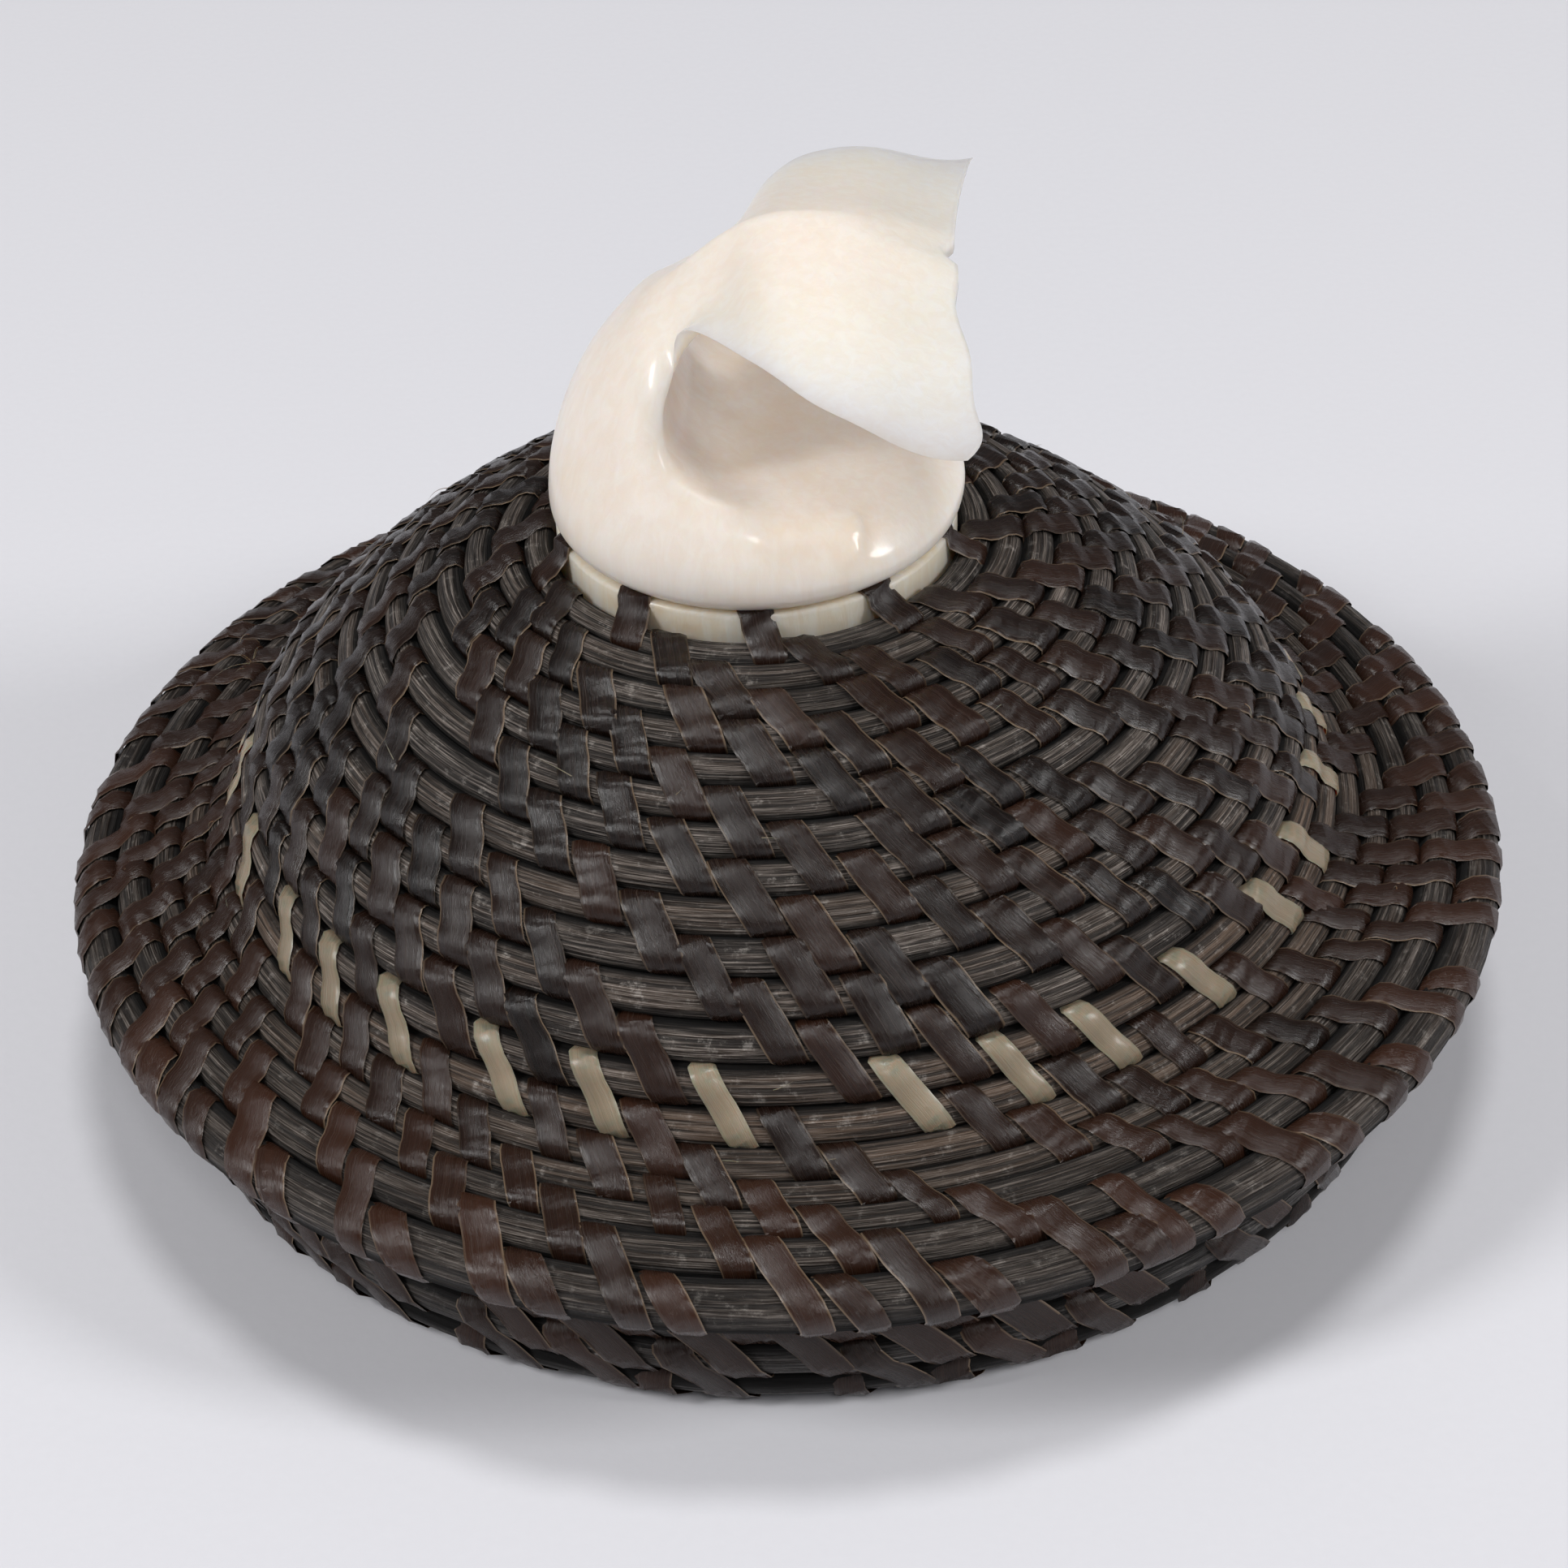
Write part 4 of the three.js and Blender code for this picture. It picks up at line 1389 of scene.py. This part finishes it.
@dataclass
class Finial:
    """The carved tail: sections lofted from the round base up the stock and out over the flukes.

    A section's point at an angle round it lies between the section's inner and outer places by a
    depth that falls off with the cosine, and sideways by the half-width times the sine. Each station
    holds shares: outer place along X of the base radius and up Z of the height, inner place alike,
    half-width of the half span, depth of the ridge between the sides, and power of the fall.
    """

    walls: Walls
    finishes: Finishes
    touches: Touches = Touches()
    base_radius: float = 17.4
    height: float = 27.2
    half_span: float = 26.2
    turn_degrees: float = 2.4
    seat_gap: float = 0.3
    sections: int = 150
    around: int = 144
    station_shares: np.ndarray = field(default_factory=lambda: np.array([
        [-0.935, 0.000, 0.941, 0.000, 0.640, 0.50, 1.0],
        [-1.000, 0.055, 1.012, 0.048, 0.688, 0.50, 1.0],
        [-0.994, 0.161, 1.006, 0.132, 0.688, 0.50, 1.0],
        [-0.953, 0.278, 0.847, 0.205, 0.636, 0.46, 1.0],
        [-0.882, 0.403, 0.412, 0.242, 0.560, 0.36, 1.0],
        [-0.788, 0.520, -0.035, 0.278, 0.488, 0.28, 1.1],
        [-0.665, 0.626, -0.294, 0.381, 0.420, 0.22, 1.2],
        [-0.512, 0.729, -0.371, 0.535, 0.376, 0.07, 1.3],
        [-0.329, 0.821, -0.288, 0.659, 0.312, -0.06, 1.4],
        [-0.118, 0.930, -0.094, 0.755, 0.318, -0.10, 1.5],
        [0.059, 0.985, 0.059, 0.802, 0.600, 0.08, 1.6],
        [0.259, 1.000, 0.259, 0.832, 0.816, -0.10, 1.8],
        [0.565, 0.978, 0.565, 0.846, 0.944, -0.55, 2.0],
        [0.976, 0.872, 0.976, 0.817, 1.000, -1.80, 2.0],
    ]))

    def _smooth(self, share: np.ndarray) -> np.ndarray:
        """Smooth curve through the stations, each span weighed by its four neighbours.

        Args:
            share: Places from the first station, at 0, to the last, at 1.

        Returns:
            One row of station values for each place.
        """
        last = len(self.station_shares) - 1
        place = share * last
        index = np.minimum(place.astype(int), last - 1)
        part = (place - index)[:, None]
        near = (self.station_shares[np.clip(index + step, 0, last)] for step in (-1, 0, 1, 2))
        before, start, stop, after = near
        bend = 2 * before - 5 * start + 4 * stop - after
        twist = 3 * (start - stop) + after - before
        return start + part * ((stop - before) + part * (bend + part * twist)) / 2

    @staticmethod
    def _bell(value: np.ndarray, middle: float, breadth: float, power: int = 2) -> np.ndarray:
        """Bell curve: e to minus the distance from the middle over the breadth, to a power."""
        return np.exp(-((value - middle) / breadth) ** power)

    @staticmethod
    def _beyond(value: np.ndarray, start: float, breadth: float) -> np.ndarray:
        """Straight rise from 0 at the start to 1 a breadth further on."""
        return np.clip((value - start) / breadth, 0.0, 1.0)

    @staticmethod
    def _rise(share: np.ndarray, low: float, high: float) -> np.ndarray:
        """Smooth rise from 0 at one share to 1 at another."""
        part = np.clip((share - low) / (high - low), 0.0, 1.0)
        return part * part * (3.0 - 2.0 * part)

    def _surface(self) -> np.ndarray:
        """The tail's surface before it is turned and seated.

        The outer side falls off by the station's power of the cosine. The inner side is scooped by a
        higher power, rounded off beside the hollow, and both turn keen towards the flukes.

        Returns:
            Grid of points in millimetres, section by section, from the base to the trailing edge.
        """
        share = np.linspace(0.0, 1.0, self.sections)
        outer_x, outer_z, inner_x, inner_z, width, ridge, crest = self._smooth(share).T[:, :, None]
        angle = FULL_TURN * np.arange(self.around)[None, :] / self.around
        cosine, side = np.cos(angle), np.sin(angle)
        scoop = self._rise(share, 0.10, 0.36) * (1.2 + 0.9 * (1.0 - self._rise(share, 0.58, 0.76)))
        rounded = 0.9 * (self._rise(share, 0.08, 0.30) * (1.0 - self._rise(share, 0.50, 0.62)))[:, None]
        keen = self._rise(share, 0.52, 0.74)[:, None]
        edged = 0.6 * keen
        fall = np.abs(cosine) ** crest * (1.0 - edged) + (1.0 - np.abs(side)) ** 1.5 * edged
        inner_fall = np.abs(cosine) ** (crest + scoop[:, None]) * (1.0 - rounded) + np.abs(cosine) * rounded
        inner_fall = inner_fall * (1.0 - keen) + fall * keen
        depth = np.where(cosine > 0, ridge * (1 - inner_fall), ridge + (1 - ridge) * fall)
        across_x = (inner_x + (outer_x - inner_x) * depth) * self.base_radius
        across_z = (inner_z + (outer_z - inner_z) * depth) * self.height
        across_x, across_z = self._carve(share[:, None], side, cosine, across_x, across_z)
        return np.stack([across_x, width * self.half_span * side, across_z + 0.0 * side], axis=-1)

    def _carve(self, share: np.ndarray, side: np.ndarray, cosine: np.ndarray, across_x: np.ndarray,
               across_z: np.ndarray) -> tuple[np.ndarray, np.ndarray]:
        """The carver's touches, each a bell curve or a power of the share and of the sine round the section.

        The flukes sweep back. A notch, waves, a rounded near tip and a hooked far tip shape the
        trailing edge. A fold marks the top corner of the hollow on the near side, and a small raised
        crease stands beside the hollow's foot.

        Args:
            share: Place of each section from base to trailing edge, as a column.
            side: Sine round the section, -1 on the near side.
            cosine: Cosine round the section, positive on the inner side.
            across_x: Places along X.
            across_z: Places up Z.

        Returns:
            The two kinds of places with the touches added.
        """
        touch = self.touches
        swept = touch.sweep * self._rise(share, 0.7, 1.0) * side * side
        edge = self._rise(share, 0.80, 1.0)
        notch = -touch.notch * self._bell(side, 0.0, 0.06)
        wave = touch.wave * np.sin(-side * 13.0 + 0.8) * (side < -0.05) * (1.0 - side ** 4)
        rounding = -touch.near_rounding * self._beyond(-side, 0.84, 0.16) ** 2
        droop = self._beyond(side, 0.88, 0.12)
        hook = touch.far_bulge * droop - touch.far_hook * self._beyond(side, 0.93, 0.07) ** 2
        crease_side = 0.92 * (share - 0.215) - 0.81
        crease = self._bell(side, crease_side, 0.045) * self._bell(share, 0.205, 0.062, 4) * (cosine > 0)
        fold = self._bell(share, 0.685, 0.060) * self._beyond(-side, 0.0, 1.0) ** 5
        across_x = across_x + swept + edge * (notch + wave + rounding + hook)
        across_x = across_x + touch.crease * crease - touch.fold * fold
        across_z = across_z + touch.fold_rise * fold - edge * touch.far_droop * droop * droop
        return across_x, across_z

    def build(self) -> None:
        """Builds the tail, turns and seats it on the lid's disc, and dresses it."""
        points = self._surface()
        turn = -math.radians(self.turn_degrees)
        size = self.walls.sizes
        x = points[..., 0] * math.cos(turn) - points[..., 1] * math.sin(turn) + size.lean_x
        y = points[..., 0] * math.sin(turn) + points[..., 1] * math.cos(turn) + size.lean_y
        seat = self.walls.disc_underside() + size.lid_disc_thickness + self.seat_gap
        grid = np.stack([x, y, points[..., 2] + seat], axis=-1).reshape(-1, 3)
        faces = grid_faces(self.sections, self.around, False, True)
        ends = [self._end(0), self._end(self.sections - 1)[:, ::-1]]
        piece = mesh_object("whale_tail", grid * MM, np.concatenate([faces, *ends])[:, ::-1])
        dress(piece, self.finishes.ivory, Slot.IVORY, Body.LID, "whale_tail_finial")

    def _end(self, section: int) -> np.ndarray:
        """Quads that close one section between its inner and its outer half.

        Args:
            section: Index of the section.

        Returns:
            Array of (count, 4) point indices.
        """
        start, quarter = section * self.around, self.around // 4
        step = np.arange(-quarter, quarter)
        inner, outer = step % self.around, (2 * quarter - step) % self.around
        inner_next, outer_next = (step + 1) % self.around, (2 * quarter - step - 1) % self.around
        return start + np.stack([inner, outer, outer_next, inner_next], axis=-1)


@dataclass
class StarterDisc:
    """A coil's ivory starting disc: a profile turned round its axis, a little out of round.

    The radius at an angle is the profile's radius times one plus a small smooth noise.
    """

    name: str
    node: str
    radius: float
    thickness: float
    bottom: float
    middle: tuple[float, float] = (0.0, 0.0)
    rim: float = 0.4
    filing: float = 0.004
    around: int = 144

    def build(self, material: bpy.types.Material, body: Body) -> None:
        """Builds and dresses the disc.

        Args:
            material: Its finish.
            body: The body that it rides on.
        """
        half = self.thickness / 2
        corner = np.radians(np.linspace(0.0, 90.0, 5))
        edge_out, edge_up = self.rim * (np.cos(corner) - 1.0), self.rim * (np.sin(corner) - 1.0)
        ring = np.array([0.02, 0.5, 0.93, 0.98]) * (self.radius - self.rim)
        top_out = np.concatenate([self.radius + edge_out, ring[::-1]])
        top_up = np.concatenate([half + edge_up, np.full(len(ring), half)])
        out = np.concatenate([top_out[::-1], top_out])[:, None]
        up = np.concatenate([-top_up[::-1], top_up])[:, None]
        angle = FULL_TURN * np.arange(self.around)[None, :] / self.around
        filed = 1.0 + self.filing * smooth_noise(self.around, 9, 41)[None, :]
        x = self.middle[0] + out * filed * np.cos(angle)
        y = self.middle[1] + out * filed * np.sin(angle)
        z = self.bottom + half + up + 0.0 * angle
        points = np.stack([x, y, z], axis=-1).reshape(-1, 3) * MM
        rows = len(out)
        faces = grid_faces(rows, self.around, False, True)
        step = np.arange(self.around // 2 - 1)
        far, near = (-step - 1) % self.around, (-step - 2) % self.around
        low_cap = np.stack([step, far, near, step + 1], axis=-1)
        high_cap = (rows - 1) * self.around + low_cap[:, ::-1]
        piece = mesh_object(self.name, points, np.concatenate([faces, low_cap, high_cap]))
        dress(piece, material, Slot.WORN_IVORY, body, self.node)


@dataclass
class Lid:
    """The lid: a coiled crown and brim round its disc, with a collar below and one pale row of stitches."""

    walls: Walls
    finishes: Finishes
    holes: int = 10
    spacing: float = 9.7
    shift: float = 4.9
    slant: float = 0.55
    pale_loop: int = 12
    collar_spacing: float = 11.5
    fibres: int = 46
    tuft: int = 9
    brownness: Table = ((-1.0, 0.16), (3.0, 0.20), (7.0, 0.10), (11.0, 0.22), (14.0, 0.45), (18.0, 0.74))
    widths: Table = ((-1.0, 2.9), (9.0, 2.95), (13.0, 2.7), (18.0, 2.75))
    pale_widths: Table = even(2.2)
    pallor: Table = ((0.0, 0.88), (9.0, 0.94), (11.0, 1.0), (13.0, 1.0), (15.0, 0.72), (18.0, 0.46))

    def build(self) -> None:
        """Builds and dresses rods, stitches, wraps, collar, hairs and disc."""
        size, wall = self.walls.sizes, self.walls.lid
        rod = CoilRod(wall, "lid_rods", seed=21, warm_loop=self.pale_loop, pallor=self.pallor).build()
        dress(rod, self.finishes.rod, Slot.BALEEN, Body.LID, "lid_coil")
        holes = hole_turns(self.holes)
        underside = self.walls.disc_underside()
        first = DiscStitches(
            "disc_stitches", wall, holes, seed=22, slant=0.35, widths=even(2.7),
            hole_radius=size.lid_disc_radius - size.stitch_hole_inset, disc_radius=size.lid_disc_radius,
            disc_bottom=underside, disc_top=underside + size.lid_disc_thickness,
        ).build()
        dress(first, self.finishes.splint, Slot.DARK_SPLINT, Body.LID)
        turns = all_stitches(holes, wall, self.shift, self.spacing, seed=23)
        pale = (turns >= self.pale_loop - 0.02) & (turns < self.pale_loop + 0.98)
        for name, bound, seed, widths, finish, slot in (
            ("lid_stitches", ~pale, 24, self.widths, self.finishes.splint, Slot.DARK_SPLINT),
            ("pale_stitches", pale, 25, self.pale_widths, self.finishes.pale_splint, Slot.PALE_SPLINT),
        ):
            stitches = Stitches(
                name, wall, turns[bound], seed=seed, slant=self.slant, widths=widths,
                brownness=self.brownness,
            ).build()
            dress(stitches, finish, slot, Body.LID, "lid_coil")
        wraps = Stitches(
            "rim_wraps", wall, edge_wraps(turns, wall, self.shift), seed=26, around_both=False, slant=0.80,
            widths=even(2.8), brownness=even(0.75),
        ).build()
        dress(wraps, self.finishes.splint, Slot.DARK_SPLINT, Body.LID)
        self._collar()
        self._loose_fibres()
        StarterDisc(
            "coil_disc", "lid_disc", size.lid_disc_radius, size.lid_disc_thickness, underside,
            (size.lean_x, size.lean_y),
        ).build(self.finishes.worn_ivory, Body.LID)

    def _loose_fibres(self) -> None:
        """Hairs that have sprung from the rods at random places, and one tuft of them at a strip's end.

        Each hair runs a length from the rod's crest, along the rod one way or the other and away from it
        by a lean.
        """
        rng = np.random.default_rng(51)
        count, loops = self.fibres, self.walls.sizes.lid_loops
        turns = rng.uniform(4.0, loops - 1.2, count)
        tuft_turn, tuft_spread = loops - 3.0 + 0.03, 0.004
        turns[-self.tuft:] = tuft_turn + rng.uniform(0.0, tuft_spread, self.tuft)
        radius, height, slope, thick = self.walls.lid.rod_on_turn(turns)
        off = thick / 2 - 0.05
        angle = START_ANGLE + FULL_TURN * turns
        start = self.walls.lid.leaned(radius - off * np.sin(slope), height + off * np.cos(slope), angle) / MM
        along = np.stack([-np.sin(angle), np.cos(angle), np.zeros(count)], axis=-1)
        outward = np.stack([np.cos(angle), np.sin(angle), np.zeros(count)], axis=-1)
        away = -np.sin(slope)[:, None] * outward
        away[:, 2] = np.cos(slope)
        length = rng.uniform(1.0, 3.2, count)[:, None]
        lean = rng.uniform(0.15, 0.55, count)[:, None]
        way = np.where(rng.random(count) < 0.5, -1.0, 1.0)[:, None]
        end = start + length * (along * way + away * lean + rng.normal(0.0, 0.22, (count, 3)))
        bulge = away * length * rng.uniform(0.0, 0.22, count)[:, None]
        hairs = Fibres("loose_fibres", start, end, bulge).build()
        dress(hairs, self.finishes.pale_splint, Slot.PALE_SPLINT, Body.LID)

    def _collar(self) -> None:
        """The collar's two loops and their stitches."""
        wall = self.walls.collar
        rod = CoilRod(wall, "collar_rods", seed=31).build()
        dress(rod, self.finishes.rod, Slot.BALEEN, Body.LID, "lid_collar")
        count = int(round(FULL_TURN * wall.radius[0] / self.collar_spacing))
        turns = (np.arange(count) + np.random.default_rng(32).uniform(-0.12, 0.12, count)) / count
        piece = Stitches("collar_stitches", wall, turns, seed=33, slant=-0.6).build()
        dress(piece, self.finishes.splint, Slot.DARK_SPLINT, Body.LID, "lid_collar")


# Studio


@dataclass(frozen=True)
class PhotoCamera:
    """Camera of the photograph, from a fit of the outlines; lengths in metres, focal length in pixels."""

    elevation: float = math.radians(36.502)
    roll: float = math.radians(-2.2117)
    distance: float = 0.310
    aim_x: float = -0.000026
    aim_z: float = 0.020496
    focal_pixels: float = 4243.15

    def build(self) -> None:
        """Places the camera in front and above, rolled a little."""
        forward = Vector((0.0, math.cos(self.elevation), -math.sin(self.elevation)))
        level = Vector((1.0, 0.0, 0.0))
        upright = level.cross(forward)
        right = level * math.cos(self.roll) + upright * math.sin(self.roll)
        up = upright * math.cos(self.roll) - level * math.sin(self.roll)
        data = bpy.data.cameras.new("photo_camera")
        data.sensor_width = SENSOR_MM
        data.lens = self.focal_pixels / FRAME_PIXELS * SENSOR_MM
        data.clip_start, data.clip_end = 0.01, 20.0
        camera = bpy.data.objects.new("photo_camera", data)
        turned = Matrix((right, up, -forward)).transposed().to_4x4()
        turned.translation = Vector((self.aim_x, 0.0, self.aim_z)) - forward * self.distance
        camera.matrix_world = turned
        bpy.context.scene.collection.objects.link(camera)
        bpy.context.scene.camera = camera


@dataclass(frozen=True)
class SoftLight:
    """One large soft light: its place, its breadth, its power and its height over its breadth."""

    name: str
    place: tuple[float, float, float]
    size: float
    power: float
    tall: float = 1.0


@dataclass
class Studio:
    """Pale floor, and soft light from both sides, from in front and from above."""

    floor_size: float = 3.0
    floor_colour: Colour = (0.715, 0.712, 0.748, 1.0)
    world_colour: Colour = (0.88, 0.87, 0.90, 1.0)
    world_strength: float = 0.14
    floor_grain: float = 900.0
    floor_shade: float = 0.97
    aim_height: float = 0.03
    lights: tuple[SoftLight, ...] = (
        SoftLight("left_light", (-1.18, -0.46, 1.02), 0.30, 13.6, 2.8),
        SoftLight("right_light", (1.25, -0.40, 0.80), 0.30, 10.5, 2.0),
        SoftLight("front_light", (0.16, -1.20, 1.45), 0.30, 4.8, 1.6),
        SoftLight("top_light", (0.10, 0.22, 1.90), 0.46, 11.8),
    )

    def build(self) -> None:
        """Builds the floor, the lights and the world, seen without a film curve, as the photograph is."""
        bpy.context.scene.view_settings.view_transform = "Standard"
        half = self.floor_size / 2
        corners = np.array([[-half, -half, 0.0], [half, -half, 0.0], [half, half, 0.0], [-half, half, 0.0]])
        floor = mesh_object("studio_floor", corners, np.array([[0, 1, 2, 3]]), smooth=False)
        shade = Shading("studio floor")
        noise = shade.noise(shade.object_point(), self.floor_grain).outputs["Fac"]
        tinted = tuple(self.floor_shade * part for part in self.floor_colour[:3]) + (1.0,)
        colour = shade.blend(noise, self.floor_colour, tinted)
        rough = shade.between(noise, (0.0, 1.0), (0.7, 0.9))
        floor.data.materials.append(shade.finish(colour, rough, noise, 0.00002))
        for light in self.lights:
            self._add(light)
        world = bpy.data.worlds.new("studio")
        world.use_nodes = True
        background = world.node_tree.nodes["Background"]
        background.inputs["Color"].default_value = self.world_colour
        background.inputs["Strength"].default_value = self.world_strength
        bpy.context.scene.world = world

    def _add(self, light: SoftLight) -> None:
        """Adds one area light that looks at the object.

        Args:
            light: Its place, size and power.
        """
        data = bpy.data.lights.new(light.name, "AREA")
        data.shape = "ELLIPSE"
        data.size, data.size_y = light.size, light.size * light.tall
        data.energy = light.power
        lamp = bpy.data.objects.new(light.name, data)
        lamp.location = light.place
        aim = Vector((0.0, 0.0, self.aim_height)) - Vector(light.place)
        lamp.rotation_euler = aim.to_track_quat("-Z", "Y").to_euler()
        bpy.context.scene.collection.objects.link(lamp)


def repaint(frame: dict, node: str, material: bpy.types.Material) -> None:
    """Gives a kept CAD node its material.

    Args:
        frame: What the frame's load returned.
        node: Name of the node.
        material: Its finish.
    """
    slots = frame["nodes"][node].data.materials
    if not slots:
        slots.append(material)
    for index in range(len(slots)):
        slots[index] = material
    LOG.info("%s: kept from the frame", node)


def corners(box: object) -> list[list[float]]:
    """A box as plain lists of numbers."""
    return [[float(part) for part in corner] for corner in box]


def main() -> None:
    """Loads the frame and builds every sub-assembly in order."""
    logging.basicConfig(level=logging.INFO, format="%(name)s: %(message)s")
    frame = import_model()
    PhotoCamera().build()
    Studio().build()
    walls = Walls(BasketSizes())
    finishes = Finishes()
    Basket(walls, finishes).build()
    Lid(walls, finishes).build()
    Finial(walls, finishes).build()
    repaint(frame, "base_disc", finishes.worn_ivory)
    repaint(frame, "finial_peg", finishes.worn_ivory)


if __name__ == "__main__":
    main()
